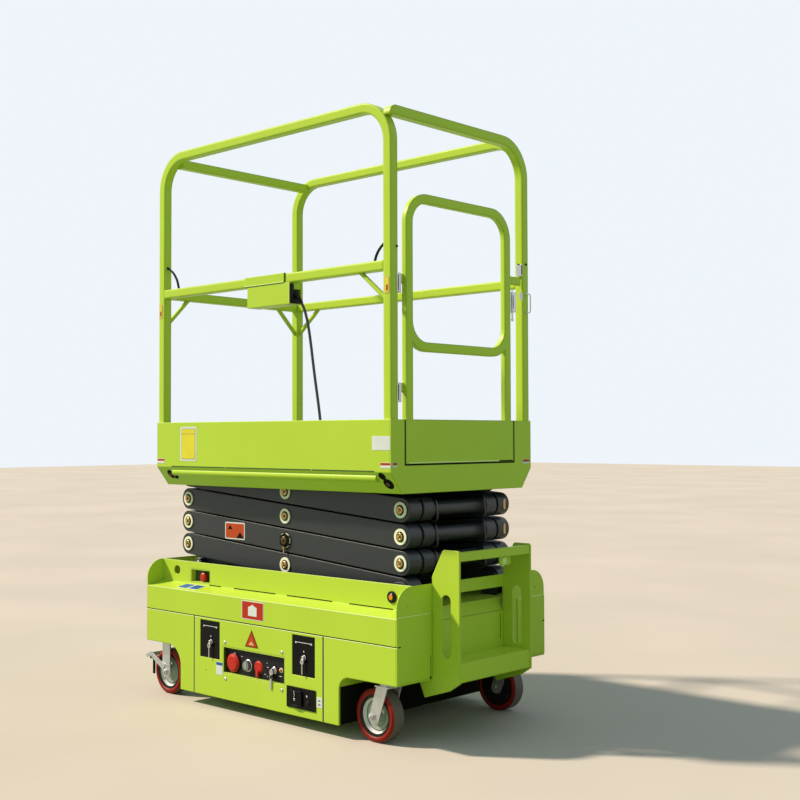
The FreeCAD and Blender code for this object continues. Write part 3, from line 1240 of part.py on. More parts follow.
def control_cable():
    """Cable from the control box down to its gland in the platform floor: straight runs and tangent arcs."""
    points = cable_points()
    edges = []
    start = points[0]
    for before, corner, after in zip(points, points[1:], points[2:]):
        arrive = (corner - before)
        leave = (after - corner)
        reach = 0.45 * min(arrive.Length, leave.Length)
        arrive.normalize()
        leave.normalize()
        turn = arrive.getAngle(leave)
        radius = reach / math.tan(turn / 2)
        print("cable bend radius %.0f mm, %.1f diameters" % (radius, radius / s.cable_diameter.value))
        first = corner - arrive * reach
        last = corner + leave * reach
        inward = leave - arrive
        inward.normalize()
        middle = corner + inward * (radius / math.cos(turn / 2) - radius)
        edges.append(Part.LineSegment(start, first).toShape())
        edges.append(Part.Arc(first, middle, last).toShape())
        start = last
    edges.append(Part.LineSegment(start, points[-1]).toShape())
    path = Part.Wire(edges)
    ring = Part.Wire([Part.Circle(points[0], points[1] - points[0], s.cable_diameter.value / 2).toShape()])
    tube_shape = path.makePipeShell([ring], True, False)
    expected = math.pi * (s.cable_diameter.value / 2) ** 2 * path.Length
    print("cable volume over section times length %.4f" % (tube_shape.Volume / expected))
    cable = doc.addObject("Part::Feature", "control_cable")
    cable.Shape = tube_shape
    node(cable, "control_cable")
    end = CABLE_ROUTE[-1]
    node(rod("cable_gland", "z", end[:2], s.gland_radius, (floor_top, s.deck_level + s.gland_rise)), "cable_gland")


control_box()
control_cable()

# Build, test and write
doc.recompute()
for thing in doc.Objects:
    if "Invalid" in thing.State or "Error" in thing.State:
        raise RuntimeError("%s failed: %s" % (thing.Name, thing.State))
os.makedirs("parts", exist_ok=True)
for thing in nodes:
    shape = thing.Shape
    if shape.isNull() or not shape.isValid() or not shape.Solids:
        raise RuntimeError("%s has no valid solid" % thing.Label)
    shape.exportStep("parts/%s.step" % thing.Label)
print("%d nodes written" % len(nodes))
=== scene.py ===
# %% [markdown]
# # Push-around scissor lift
# The machine is a lime green chassis on four small wheels, a charcoal scissor stack and a railed
# platform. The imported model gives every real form; this file gives it finishes and small fittings.
# Everything is in metres: +X is the ladder end, -Y the side with the ground controls, +Z is up.

# %% Load the frame
import bpy
import math
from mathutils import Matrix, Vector


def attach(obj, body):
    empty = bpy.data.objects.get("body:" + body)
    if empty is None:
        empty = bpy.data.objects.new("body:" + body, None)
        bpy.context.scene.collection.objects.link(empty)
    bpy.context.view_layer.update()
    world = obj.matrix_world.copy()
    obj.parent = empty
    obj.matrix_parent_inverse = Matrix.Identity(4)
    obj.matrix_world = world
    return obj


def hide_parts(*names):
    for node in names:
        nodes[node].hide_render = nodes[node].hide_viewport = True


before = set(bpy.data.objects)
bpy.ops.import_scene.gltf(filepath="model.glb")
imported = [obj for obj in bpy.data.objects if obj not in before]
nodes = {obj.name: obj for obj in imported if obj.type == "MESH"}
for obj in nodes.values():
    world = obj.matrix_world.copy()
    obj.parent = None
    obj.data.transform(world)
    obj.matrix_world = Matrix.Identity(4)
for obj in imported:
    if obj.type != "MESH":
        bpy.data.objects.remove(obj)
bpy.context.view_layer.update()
bpy.ops.object.select_all(action="DESELECT")
CHASSIS_X = -0.030

# %% [markdown]
# ## Camera
# The photograph was taken from chest height, a little off the ladder end's corner, with a normal
# lens. The place and aim below were found by matching known corners, so the render can be laid over
# the photograph. FOCUS is the focal length in pixels of the square picture.

# %% Camera
PICTURE = 800
FOCUS = 1212.583
SENSOR = 36
UPWARD = 0.0292
ROLL = 0.0027
HEADING = 0.7521
bpy.ops.object.camera_add(location=(3.0187, -2.9412, 0.922), rotation=(math.pi / 2 + UPWARD, ROLL, HEADING))
camera = bpy.context.object
camera.data.sensor_width = SENSOR
camera.data.lens = FOCUS / PICTURE * SENSOR
camera.data.clip_end = 200
bpy.context.scene.camera = camera
bpy.context.scene.view_settings.view_transform = "Standard"
print("lens %.2f mm" % camera.data.lens)

# %% [markdown]
# ## Shader nodes
# World and materials are built from shader nodes, which one helper adds.


# %% Shader nodes
def shader_node(tree, kind, **values):
    """A shader node with its inputs set; an underscore stands for a space in an input's name."""
    made = tree.nodes.new("ShaderNode" + kind)
    for name, value in values.items():
        made.inputs[name.replace("_", " ")].default_value = value
    return made


# %% [markdown]
# ## Light, world and floor
# A warm sun, high over the back near corner, lights the long side and leaves the ladder end in
# shade, as in the photograph. A weak cool world fills the shade. The backdrop is pale only for camera
# rays and reflections, so it adds no light of its own.

# %% Light, world and floor
bpy.ops.object.light_add(type="SUN", location=(-4, -3, 5), rotation=(math.radians(48), 0, math.radians(-56)))
key = bpy.context.object
key.data.energy = 4.6
key.data.color = (1.0, 0.88, 0.72)
key.data.angle = math.radians(4)
world = bpy.data.worlds.new("studio")
bpy.context.scene.world = world
world.use_nodes = True
tree = world.node_tree
tree.nodes.clear()
out = shader_node(tree, "OutputWorld")
fill = shader_node(tree, "Background", Color=(0.73, 0.92, 1.0, 1), Strength=0.46)
seen = shader_node(tree, "Background", Color=(0.86, 0.91, 0.96, 1), Strength=1.0)
rays = shader_node(tree, "LightPath")
swap = shader_node(tree, "MixShader")
last = rays.outputs["Is Camera Ray"]
for kind in ("Is Glossy Ray", "Is Transmission Ray"):
    either = shader_node(tree, "Math")
    either.operation = "MAXIMUM"
    tree.links.new(last, either.inputs[0])
    tree.links.new(rays.outputs[kind], either.inputs[1])
    last = either.outputs[0]
tree.links.new(last, swap.inputs[0])
tree.links.new(fill.outputs[0], swap.inputs[1])
tree.links.new(seen.outputs[0], swap.inputs[2])
tree.links.new(swap.outputs[0], out.inputs["Surface"])

bpy.ops.mesh.primitive_plane_add(size=60, location=(0, 0, -0.0005))
floor = bpy.context.object
floor.name = "floor"

# %% [markdown]
# ## Shader helpers
# Every finish starts from one Principled shader. Broad soft noise varies its colour, a finer one its
# roughness, and a bump gives the skin of the surface: the orange peel of sprayed paint, the grain of
# moulded plastic. A Bevel node rounds the light on sheet edges, which real folded steel always shows.


# %% Shader helpers
def new_material(name, roughness=0.5, metallic=0.0, coat=0.0, shine=0.5):
    """An empty material with its Principled shader and Object coordinates."""
    mat = bpy.data.materials.new(name)
    mat.use_nodes = True
    shader = mat.node_tree.nodes["Principled BSDF"]
    shader.inputs["Roughness"].default_value = roughness
    shader.inputs["Metallic"].default_value = metallic
    shader.inputs["Coat Weight"].default_value = coat
    shader.inputs["Specular IOR Level"].default_value = shine
    shader.inputs["Coat Roughness"].default_value = 0.12
    place = shader_node(mat.node_tree, "TexCoord")
    return mat, mat.node_tree, shader, place


def noise(tree, place, scale, detail=3.0):
    """A noise texture on Object coordinates."""
    texture = shader_node(tree, "TexNoise", Scale=scale, Detail=detail)
    tree.links.new(place.outputs["Object"], texture.inputs["Vector"])
    return texture.outputs["Fac"]


def ramp(tree, value, stops):
    """A colour ramp; stops are (place, colour)."""
    band = shader_node(tree, "ValToRGB")
    while len(band.color_ramp.elements) < len(stops):
        band.color_ramp.elements.new(0.5)
    for element, (spot, colour) in zip(band.color_ramp.elements, stops):
        element.position = spot
        element.color = (*colour, 1)
    tree.links.new(value, band.inputs["Fac"])
    return band.outputs["Color"]


def tint(colour, factor):
    """The same colour, lighter or darker."""
    return tuple(min(1.0, c * factor) for c in colour)


def vary(tree, shader, place, colour, spread, scale):
    """Base colour that drifts softly round its mean."""
    stops = [(0.3, tint(colour, 1 - spread)), (0.7, tint(colour, 1 + spread))]
    tree.links.new(ramp(tree, noise(tree, place, scale), stops), shader.inputs["Base Color"])


def rough(tree, shader, place, low, high, scale):
    """Roughness that drifts between two values."""
    spread = shader_node(tree, "MapRange", To_Min=low, To_Max=high)
    tree.links.new(noise(tree, place, scale, 5), spread.inputs["Value"])
    tree.links.new(spread.outputs["Result"], shader.inputs["Roughness"])


def skin(tree, shader, place, scale, height, edge):
    """Surface bump over an edge rounding of the given radius."""
    bump = shader_node(tree, "Bump", Strength=0.5, Distance=height)
    tree.links.new(noise(tree, place, scale, 2), bump.inputs["Height"])
    soft = shader_node(tree, "Bevel", Radius=edge)
    soft.samples = 6
    tree.links.new(soft.outputs["Normal"], bump.inputs["Normal"])
    tree.links.new(bump.outputs["Normal"], shader.inputs["Normal"])


# %% [markdown]
# ## Sprayed paint
# The chassis, ladder, platform and rails have one lime green top coat over steel, with fine orange
# peel. On the square tubes a wider Bevel radius gives their round corners. Where a fold catches the
# light or a gap lies in its own shade, a paler and a darker lime paint the thin line: a painted
# highlight and a painted shade. The arms have the same kind of coat in charcoal, a little flatter.


# %% Sprayed paint
def sprayed(name, colour, low, high, edge, shine):
    """Sprayed top coat: even colour, orange peel, soft light along every fold."""
    mat, tree, shader, place = new_material(name, shine=shine)
    vary(tree, shader, place, colour, 0.04, 2.2)
    rough(tree, shader, place, low, high, 14)
    skin(tree, shader, place, 420, 0.00012, edge)
    return mat


LIME = (0.515, 0.680, 0.052)
CHARCOAL = (0.024, 0.029, 0.032)
lime_paint = sprayed("lime_paint", LIME, 0.30, 0.42, 0.0045, 0.22)
rail_paint = sprayed("rail_paint", LIME, 0.30, 0.42, 0.0100, 0.22)
charcoal_paint = sprayed("charcoal_paint", CHARCOAL, 0.34, 0.50, 0.0045, 0.40)
# The pale lime paints the highlight where a fold catches the light; the dark lime paints the shade in gaps
# and recesses.
pale_edge = sprayed("pale_edge", (0.82, 0.93, 0.36), 0.30, 0.40, 0.001, 0.45)
shade_lime = sprayed("shade_lime", (0.06, 0.11, 0.008), 0.40, 0.50, 0.001, 0.3)
print("paints", lime_paint.name, charcoal_paint.name)

# %% [markdown]
# ## Metals, plastics and rubber
# Zinc plating is pale with cloudy patches. Pins are yellow passivated steel under cream retaining
# rings. The checker plate is bare, and its raised bars are two crossed sets of short waves.


# %% Metals, plastics and rubber
def metal(name, colour, low, high):
    """Plated or turned metal with cloudy patches."""
    mat, tree, shader, place = new_material(name, metallic=1.0)
    vary(tree, shader, place, colour, 0.10, 25)
    rough(tree, shader, place, low, high, 30)
    skin(tree, shader, place, 300, 0.00008, 0.001)
    return mat


def moulded(name, colour, low, high, coat=0.0, grain=0.00006, shine=0.4):
    """Plastic or rubber with a fine even grain."""
    mat, tree, shader, place = new_material(name, coat=coat, shine=shine)
    vary(tree, shader, place, colour, 0.06, 12)
    rough(tree, shader, place, low, high, 60)
    skin(tree, shader, place, 900, grain, 0.0008)
    return mat


def printed(name, colour, shine=0.2):
    """A label's film, smoother than moulded plastic."""
    return moulded(name, colour, 0.35, 0.45, grain=0.00002, shine=shine)


zinc = metal("zinc_plate", (0.50, 0.53, 0.50), 0.38, 0.58)
steel = metal("turned_steel", (0.52, 0.52, 0.52), 0.22, 0.36)
brass_pin = metal("passivated_pin", (0.42, 0.30, 0.11), 0.25, 0.40)
dark_brass = metal("greased_pin", (0.10, 0.075, 0.03), 0.30, 0.50)
chrome_rod = metal("chromed_rod", (0.70, 0.71, 0.72), 0.06, 0.12)
black_gloss = moulded("black_gloss", (0.004, 0.004, 0.005), 0.20, 0.30, shine=0.10)
black_matt = moulded("black_matt", (0.007, 0.007, 0.008), 0.45, 0.65, shine=0.2)
red_cap = moulded("red_cap", (0.56, 0.022, 0.010), 0.32, 0.44, shine=0.25)
orange_lens = moulded("orange_lens", (0.80, 0.20, 0.015), 0.12, 0.22, 0.3)
cream_ring = moulded("cream_ring", (0.97, 0.93, 0.74), 0.40, 0.55)
white_film = printed("white_film", (0.76, 0.76, 0.78))
yellow_film = printed("yellow_film", (0.82, 0.70, 0.04))
orange_film = printed("orange_film", (0.52, 0.065, 0.010))
amber_film = printed("amber_film", (0.78, 0.42, 0.14), 0.4)
red_film = printed("red_film", (0.50, 0.028, 0.010))
blue_film = printed("blue_film", (0.02, 0.10, 0.36))
grey_film = printed("grey_film", (0.16, 0.17, 0.14), 0.4)
recess_grey = moulded("recess_grey", (0.20, 0.21, 0.20), 0.45, 0.6)
# The dark green below paints the shade at the back of the recess in the wall.
recess_shade_green = moulded("recess_shade_green", (0.05, 0.10, 0.03), 0.5, 0.6, shine=0.2)
shadow_gap = moulded("shadow_gap", (0.004, 0.005, 0.002), 0.8, 0.9, shine=0.1)
sheath = moulded("cable_sheath", (0.008, 0.008, 0.008), 0.32, 0.45, shine=0.6)
hidden = moulded("plain_block", (0.05, 0.05, 0.05), 0.6, 0.8)


def checker():
    """Bare plate with crossed raised bars."""
    mat, tree, shader, place = new_material("checker_plate", metallic=1.0)
    vary(tree, shader, place, (0.50, 0.51, 0.52), 0.08, 9)
    rough(tree, shader, place, 0.30, 0.50, 20)
    white, black = (1, 1, 1, 1), (0, 0, 0, 1)
    both = shader_node(tree, "Math")
    both.operation = "MULTIPLY"
    for slot, turn in enumerate((45, -45)):
        mapping = shader_node(tree, "Mapping", Rotation=(0, 0, math.radians(turn)))
        tree.links.new(place.outputs["Object"], mapping.inputs["Vector"])
        bricks = shader_node(tree, "TexBrick", Scale=22, Mortar_Size=0.36, Mortar_Smooth=0.6, Brick_Width=1.2,
                             Row_Height=1.0, Color1=white, Color2=white, Mortar=black)
        tree.links.new(mapping.outputs["Vector"], bricks.inputs["Vector"])
        tree.links.new(bricks.outputs["Color"], both.inputs[slot])
    bump = shader_node(tree, "Bump", Distance=0.0015)
    tree.links.new(both.outputs[0], bump.inputs["Height"])
    tree.links.new(bump.outputs["Normal"], shader.inputs["Normal"])
    return mat


checker_plate = checker()

# %% [markdown]
# ## Wheel finish
# A wheel has a red moulded side and a pale grey tread. Both are one CAD tyre, so the colour is
# chosen by distance from the axle: red on the flanks, grey on the outermost band.


# %% Wheel finish
RAMP_REACH = 0.1


def ringed(name, axle, rings, low, high):
    """Colours in rings about an axle along Y; rings are (radius, colour) from the centre out."""
    mat, tree, shader, place = new_material(name, shine=0.2)
    mapping = shader_node(tree, "Mapping", Location=(-axle[0], 0, -axle[2]), Scale=(1, 0, 1))
    length = shader_node(tree, "VectorMath")
    length.operation = "LENGTH"
    tree.links.new(place.outputs["Object"], mapping.inputs["Vector"])
    tree.links.new(mapping.outputs["Vector"], length.inputs[0])
    share = shader_node(tree, "MapRange", From_Max=RAMP_REACH)
    tree.links.new(length.outputs["Value"], share.inputs["Value"])
    banded = ramp(tree, share.outputs["Result"], [(radius / RAMP_REACH, colour) for radius, colour in rings])
    tree.nodes[-1].color_ramp.interpolation = "CONSTANT"
    tree.links.new(banded, shader.inputs["Base Color"])
    rough(tree, shader, place, low, high, 80)
    skin(tree, shader, place, 500, 0.0001, 0.001)
    return mat


# %% [markdown]
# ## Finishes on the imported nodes
# Each node's one material slot is given its finish here. The table is by finish, so a part that is
# missing from it is easy to see.

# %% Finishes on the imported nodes
FINISHES = {
    lime_paint: ["belly_pan", "scissor_bed", "side_covers", "service_panels", "end_plates", "ladder",
                 "platform_sides", "platform_ends", "control_box_holder", "control_trays"],
    rail_paint: ["guard_loop_near", "guard_loop_far", "guard_frame_entry", "back_bars", "mid_rails",
                 "gate_frame"],
    charcoal_paint: ["bed_brackets", "deck_brackets", "platform_floor", "lift_cylinder_barrel"]
                    + ["outer_arms_%d" % k for k in range(1, 5)] + ["inner_arms_%d" % k for k in range(1, 5)],
    zinc: ["wheel_mounts", "brake_pedals", "swivel_fork_near", "swivel_fork_far"],
    steel: ["lower_rollers", "upper_rollers", "hinge_pins", "gate_latch"],
    chrome_rod: ["lift_cylinder_rod"],
    cream_ring: ["scissor_pins_%d" % k for k in range(1, 5)],
    black_gloss: ["panel_windows", "charging_socket"],
    black_matt: ["control_box", "cable_gland", "ground_switches"],
    red_cap: ["red_buttons"],
    checker_plate: ["tread_plate"],
    sheath: ["control_cable"],
    hidden: ["batteries_and_pump"],
}
RED = (0.30, 0.012, 0.006)
TREAD = (0.165, 0.130, 0.118)
HUB = (0.42, 0.44, 0.39)
TYRE_RINGS = [(0.0, (0.020, 0.006, 0.005)), (0.0630, RED), (0.0794, TREAD)]
HUB_RINGS = [(0.0, HUB), (0.0300, (0.20, 0.20, 0.18)), (0.0325, HUB), (0.0440, (0.05, 0.05, 0.045)),
             (0.0468, (0.80, 0.80, 0.79)), (0.0538, (0.010, 0.008, 0.007))]
LAMP_RINGS = [(0.0, (0.80, 0.26, 0.015)), (0.0082, (0.004, 0.004, 0.004))]
AXLE_LEVEL = 0.080
WHEEL_Y = 0.292
BACK_AXLE = -0.548
ENTRY_AXLE = 0.485
AXLES = {}
for end, x in (("back", BACK_AXLE), ("entry", ENTRY_AXLE)):
    for side_name, y in (("near", -WHEEL_Y), ("far", WHEEL_Y)):
        AXLES[end + "_" + side_name] = (x + CHASSIS_X, y, AXLE_LEVEL)


def finish_node(name, mat):
    """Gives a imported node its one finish."""
    nodes[name].data.materials.clear()
    nodes[name].data.materials.append(mat)


for mat, names in FINISHES.items():
    for name in names:
        finish_node(name, mat)
for place_name, axle in AXLES.items():
    finish_node("tyre_" + place_name, ringed("tyre_finish_" + place_name, axle, TYRE_RINGS, 0.40, 0.60))
    finish_node("hub_" + place_name, ringed("hub_finish_" + place_name, axle, HUB_RINGS, 0.35, 0.5))
finish_node("amber_lamps", ringed("lamp_finish", (0.535 + CHASSIS_X, 0, 0.437), LAMP_RINGS, 0.3, 0.4))
done = sum(FINISHES.values(), []) + ["amber_lamps"]
print("nodes without a finish:", [n for n in nodes if not n.startswith(("tyre", "hub")) and n not in done])

# %% [markdown]
# ## Floor finish
# The camera sees pale concrete. The light that bounces off it is duller and greener than it looks,
# as the machine's shaded side has it in the photograph.

# %% Floor finish
mat, tree, shader, place = new_material("pale_concrete", roughness=0.9, shine=0.1)
vary(tree, shader, place, (0.60, 0.53, 0.46), 0.05, 0.8)
dull = shader_node(tree, "BsdfDiffuse", Color=(0.25, 0.36, 0.16, 1))
rays = shader_node(tree, "LightPath")
swap = shader_node(tree, "MixShader")
tree.links.new(rays.outputs["Is Diffuse Ray"], swap.inputs[0])
tree.links.new(shader.outputs[0], swap.inputs[1])
tree.links.new(dull.outputs[0], swap.inputs[2])
tree.links.new(swap.outputs[0], tree.nodes["Material Output"].inputs["Surface"])
floor.data.materials.append(mat)

# %% [markdown]
# ## Modelling helpers
# Small fittings start as a primitive at their size and place, and are shaped in edit mode. The
# finished piece keeps its place in its mesh, with its object at the origin, and rides on a body.
# All places are taken from the chassis middle, because that is how the machine was measured.


# %% Modelling helpers
def at(x, y, z):
    """A place measured from the chassis middle."""
    return Vector((x + CHASSIS_X, y, z))


def begin(add, **keys):
    """Adds one primitive with nothing else selected."""
    if bpy.context.object and bpy.context.object.mode != "OBJECT":
        bpy.ops.object.mode_set(mode="OBJECT")
    bpy.ops.object.select_all(action="DESELECT")
    add(**keys)
    return bpy.context.object


def settle(piece, name, body, mat):
    """Applies the piece's place, gives it its finish and puts it on its body."""
    if piece.mode != "OBJECT":
        bpy.ops.object.mode_set(mode="OBJECT")
    bpy.ops.object.select_all(action="DESELECT")
    piece.select_set(True)
    bpy.context.view_layer.objects.active = piece
    bpy.ops.object.transform_apply(location=True, rotation=True, scale=True)
    piece.name = name
    piece.data.materials.clear()
    piece.data.materials.append(mat)
    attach(piece, body)
    return piece


def pick_edges(piece, test):
    """Selects the edges whose two ends pass the test, and leaves the piece in edit mode."""
    bpy.ops.object.mode_set(mode="EDIT")
    bpy.ops.mesh.select_mode(type="EDGE")
    bpy.ops.mesh.select_all(action="DESELECT")
    bpy.ops.object.mode_set(mode="OBJECT")
    for edge in piece.data.edges:
        a, b = (piece.data.vertices[v].co for v in edge.vertices)
        edge.select = test(a, b)
    bpy.ops.object.mode_set(mode="EDIT")


def plate(name, body, mat, x, y, z, corner=0.0012, bevel=0.0002, tilt=0.0):
    """A plate over the ranges x, y and z, thin along its least side, with round corners and eased edges."""
    size = (x[1] - x[0], y[1] - y[0], z[1] - z[0])
    piece = begin(bpy.ops.mesh.primitive_cube_add, size=1, location=at(sum(x) / 2, sum(y) / 2, sum(z) / 2))
    piece.scale = size
    bpy.ops.object.transform_apply(location=False, rotation=False, scale=True)
    thin = min(range(3), key=lambda i: size[i])
    pick_edges(piece, lambda a, b: abs(a[thin] - b[thin]) > size[thin] * 0.5)
    bpy.ops.mesh.bevel(offset=min(corner, 0.45 * sorted(size)[1]), segments=4)
    pick_edges(piece, lambda a, b: abs(a[thin] - b[thin]) < 1e-6)
    bpy.ops.mesh.bevel(offset=min(bevel, 0.3 * size[thin]), segments=2)
    bpy.ops.object.mode_set(mode="OBJECT")
    piece.rotation_euler.x = tilt
    return settle(piece, name, body, mat)


TURN = {"x": Vector((1, 0, 0)), "y": Vector((0, 1, 0)), "z": Vector((0, 0, 1)),
        "-y": Vector((0, -1, 0)), "-z": Vector((0, 0, -1))}


def turned(name, body, mat, centre, along, steps, sides=28, filled=True):
    """A turned piece: a disc, or a bare ring, drawn out by steps of (rise, radius) from the seat up."""
    piece = begin(bpy.ops.mesh.primitive_circle_add, vertices=sides, radius=steps[0][1],
                  fill_type="NGON" if filled else "NOTHING", location=(0, 0, steps[0][0]))
    bpy.ops.object.transform_apply(location=True, rotation=False, scale=False)
    bpy.ops.object.mode_set(mode="EDIT")
    bpy.ops.mesh.select_all(action="SELECT")
    last = steps[0]
    for rise, radius in steps[1:]:
        bpy.ops.mesh.extrude_region_move(TRANSFORM_OT_translate={"value": (0, 0, rise - last[0])})
        ratio = radius / last[1]
        if abs(ratio - 1) > 1e-6:
            bpy.ops.transform.resize(value=(ratio, ratio, 1), center_override=(0, 0, rise))
        last = (rise, radius)
    bpy.ops.mesh.select_all(action="SELECT")
    bpy.ops.mesh.normals_make_consistent(inside=False)
    bpy.ops.object.mode_set(mode="OBJECT")
    aim = TURN[along] if isinstance(along, str) else along
    piece.rotation_euler = aim.to_track_quat("Z", "Y").to_euler()
    piece.location = centre
    settle(piece, name, body, mat)
    bpy.ops.object.shade_smooth_by_angle(angle=math.radians(35))
    return piece


def bent(name, points, radius, round_steps, run_steps, closed=False):
    """A round curve through places measured from the chassis middle."""
    path = bpy.data.curves.new(name, "CURVE")
    path.dimensions = "3D"
    run = path.splines.new("NURBS")
    run.points.add(len(points) - 1)
    for spot, place_at in zip(run.points, points):
        spot.co = (*at(*place_at), 1)
    run.order_u = 3
    run.use_cyclic_u = closed
    run.use_endpoint_u = not closed
    path.bevel_depth = radius
    path.bevel_resolution = round_steps
    path.resolution_u = run_steps
    path.use_fill_caps = True
    piece = bpy.data.objects.new(name, path)
    bpy.context.collection.objects.link(piece)
    return piece


def wire(name, body, mat, points, radius, closed=False):
    """A bent round wire, made a mesh."""
    piece = bent(name, points, radius, 3, 6, closed)
    bpy.ops.object.select_all(action="DESELECT")
    piece.select_set(True)
    bpy.context.view_layer.objects.active = piece
    bpy.ops.object.convert(target="MESH")
    piece = bpy.context.object
    bpy.ops.object.shade_smooth()
    return settle(piece, name, body, mat)


def twin(piece, name, body, offset=(0, 0, 0), about=None):
    """A copy with its own mesh, moved by offset, or turned half round about the upright line at x = about."""
    made = piece.copy()
    made.data = piece.data.copy()
    made.name = name
    made.parent = None
    bpy.context.collection.objects.link(made)
    for vertex in made.data.vertices:
        if about is not None:
            vertex.co.x, vertex.co.y = 2 * (about + CHASSIS_X) - vertex.co.x, -vertex.co.y
        vertex.co += Vector(offset)
    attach(made, body)
    return made


def both_sides(name, body, mat, x, y, z, **keys):
    """The same plate on the near side and on the far side."""
    near = plate(name + "_near", body, mat, x, y, z, **keys)
    twin(near, name + "_far", body, (0, -(y[0] + y[1]), 0))


def plates(body, *rows):
    """Plates on one body; a row has a plate's name, finish, ranges and corner radius."""
    for name, mat, x, y, z, corner in rows:
        plate(name, body, mat, x, y, z, corner=corner)


def fitting(name, mat, x, y, z, steps, sides):
    """A turned fitting of the chassis that faces the near side."""
    return turned(name, "chassis", mat, at(x, y, z), "-y", steps, sides)


# %% [markdown]
# ## Control cable
# One black cable runs from the control box down to its gland in the floor. It is drawn as a
# smooth spline through the same few points as the model's tube, and a ribbed boot tapers over its
# upper end so that it doesn't kink where it leaves the box.

# %% Control cable
CABLE = [(142, -308.2, 1362.5), (158.3, -307.9, 1342.7), (170.6, -307.5, 1315.9), (183.2, -306.8, 1273.4),
         (193.7, -306, 1217.1), (202.5, -305.1, 1158.3), (211.9, -304.2, 1099.5), (222.6, -303.3, 1040.8),
         (232.2, -302.4, 981.9), (239.5, -301.5, 922.5), (243.1, -300.7, 872.7), (244, -300.2, 838)]
CABLE_PLACES = [tuple(v / 1000 for v in spot) for spot in CABLE]
lead = bent("control_lead", CABLE_PLACES, 0.0045, 5, 8)
lead.data.materials.append(sheath)
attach(lead, "platform")
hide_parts("control_cable")
start = at(*CABLE_PLACES[0])
aim = (at(*CABLE_PLACES[1]) - start).normalized()
ribs = [(-0.028, 0.0085)]
for k in range(5):
    rise, radius = -0.022 + 0.007 * k, 0.0085 - 0.0005 * k
    ribs += [(rise, radius), (rise + 0.001, radius - 0.001), (rise + 0.003, radius - 0.001),
             (rise + 0.004, radius - 0.0003)]
ribs += [(0.016, 0.0058), (0.018, 0.0047)]
turned("cable_boot", "platform", black_matt, start, aim, ribs, 20)
turned("gland_nut", "platform", black_matt, at(0.244, -0.3002, 0.828), "z",
       [(0.0, 0.0135), (0.0055, 0.0135), (0.0065, 0.0105), (0.0125, 0.0098), (0.0145, 0.0072),
        (0.0165, 0.0052)], 6)
print("cable from", tuple(round(v, 3) for v in start))

# %% [markdown]
# ## Pin caps
# Each scissor pin shows a yellow passivated end inside its cream ring, with a small grease nipple in
# its middle. One cap and its dark well, a disc of painted shade, are modelled and copied to every pin,
# near and far.

# %% Pin caps
RING_FACE = 0.246
ARM_FACE = 0.242
SPAN = 0.526
RISE = 0.081


def low_of(level):
    return 0.452 + RISE * (level - 1)


pin_spots = []
for level in range(1, 5):
    pin_spots.append((level, 0.0, low_of(level) + RISE / 2))
    if level > 1:
        pin_spots.append((level, SPAN, low_of(level)))
    if level < 4:
        pin_spots.append((level, -SPAN, low_of(level) + RISE))
x0, z0 = pin_spots[0][1:]
# The well is a dark disc of painted shade.
well = turned("pin_well_1_near", "outer_1", shadow_gap, at(x0, -RING_FACE, z0), "-y",
              [(-0.0004, 0.0165), (0.0004, 0.0165)], 28)
cap = turned("pin_cap_1_near", "outer_1", brass_pin, at(x0, -RING_FACE, z0), "-y",
             [(0.0, 0.0125), (0.0032, 0.0125), (0.0042, 0.0112), (0.0042, 0.0078), (0.0024, 0.0070),
              (0.0024, 0.0042), (0.0065, 0.0036), (0.0090, 0.0030), (0.0098, 0.0015)], 24)
halo = turned("pin_halo_1_near", "outer_1", shadow_gap, at(x0, -ARM_FACE, z0), "-y",
              [(-0.0003, 0.0268), (0.0006, 0.0268)], 32)
for number, (level, x, z) in enumerate(pin_spots, start=1):
    body = "outer_%d" % level
    for kind, first in (("pin_well", well), ("pin_cap", cap), ("pin_halo", halo)):
        near = first
        if number > 1:
            near = twin(first, "%s_%d_near" % (kind, number), body, (x - x0, 0, z - z0))
        twin(near, "%s_%d_far" % (kind, number), body, about=x)
print("pins capped", 2 * len(pin_spots))

# %% [markdown]
# One centre pin on the near side has no cream ring: a broad greased washer with its nipple hanging
# down covers it.

# %% The greased centre pin
centre_z = low_of(2) + RISE / 2
turned("greased_washer", "outer_2", shadow_gap, at(0, -RING_FACE, centre_z), "-y",
       [(-0.0042, 0.0262), (0.0022, 0.0262), (0.0036, 0.0245), (0.0036, 0.0172), (0.0014, 0.0160)], 6)
turned("greased_cap", "outer_2", dark_brass, at(0, -RING_FACE - 0.0014, centre_z), "-y",
       [(0.0, 0.0150), (0.0045, 0.0140), (0.0065, 0.0110), (0.0065, 0.0040), (0.0110, 0.0032)], 24)
turned("greased_nipple", "outer_2", brass_pin, at(0, -RING_FACE - 0.004, centre_z - 0.023), "-z",
       [(-0.002, 0.0045), (0.006, 0.0045), (0.0075, 0.0028), (0.014, 0.0026), (0.0165, 0.0036),
        (0.019, 0.0018)], 16)

# %% [markdown]
# ## Tube collars
# A cross tube is welded between each pair of inner arms, at both ends. A turned collar stands at
# every joint, and catches the light on its rim. It is an annulus drawn out from an edge ring.

# %% Tube collars
COLLAR = [(0, 0.0232), (0.0, 0.0282), (0.0042, 0.0282), (0.0062, 0.0262), (0.0070, 0.0232)]
first = turned("tube_collar_1_back_far", "inner_1", charcoal_paint, at(-SPAN, 0.126, low_of(1)), "-y",
               COLLAR, 32, filled=False)
for level in range(1, 5):
    body = "inner_%d" % level
    for kind, x, z in (("back", -SPAN, low_of(level)), ("entry", SPAN, low_of(level) + RISE)):
        far = first
        if (level, kind) != (1, "back"):
            far = twin(first, "tube_collar_%d_%s_far" % (level, kind), body, (x + SPAN, 0, z - low_of(1)))
        twin(far, "tube_collar_%d_%s_near" % (level, kind), body, about=x)
print("collars", 16)

# %% [markdown]
# At the ladder end a black hose loops round the joint of each of the three lower inner arms, and the
# three upper outer arms show a grease port on the far side. A loop is drawn once for each side and
# copied up the stack, so each one rides on its own arm.

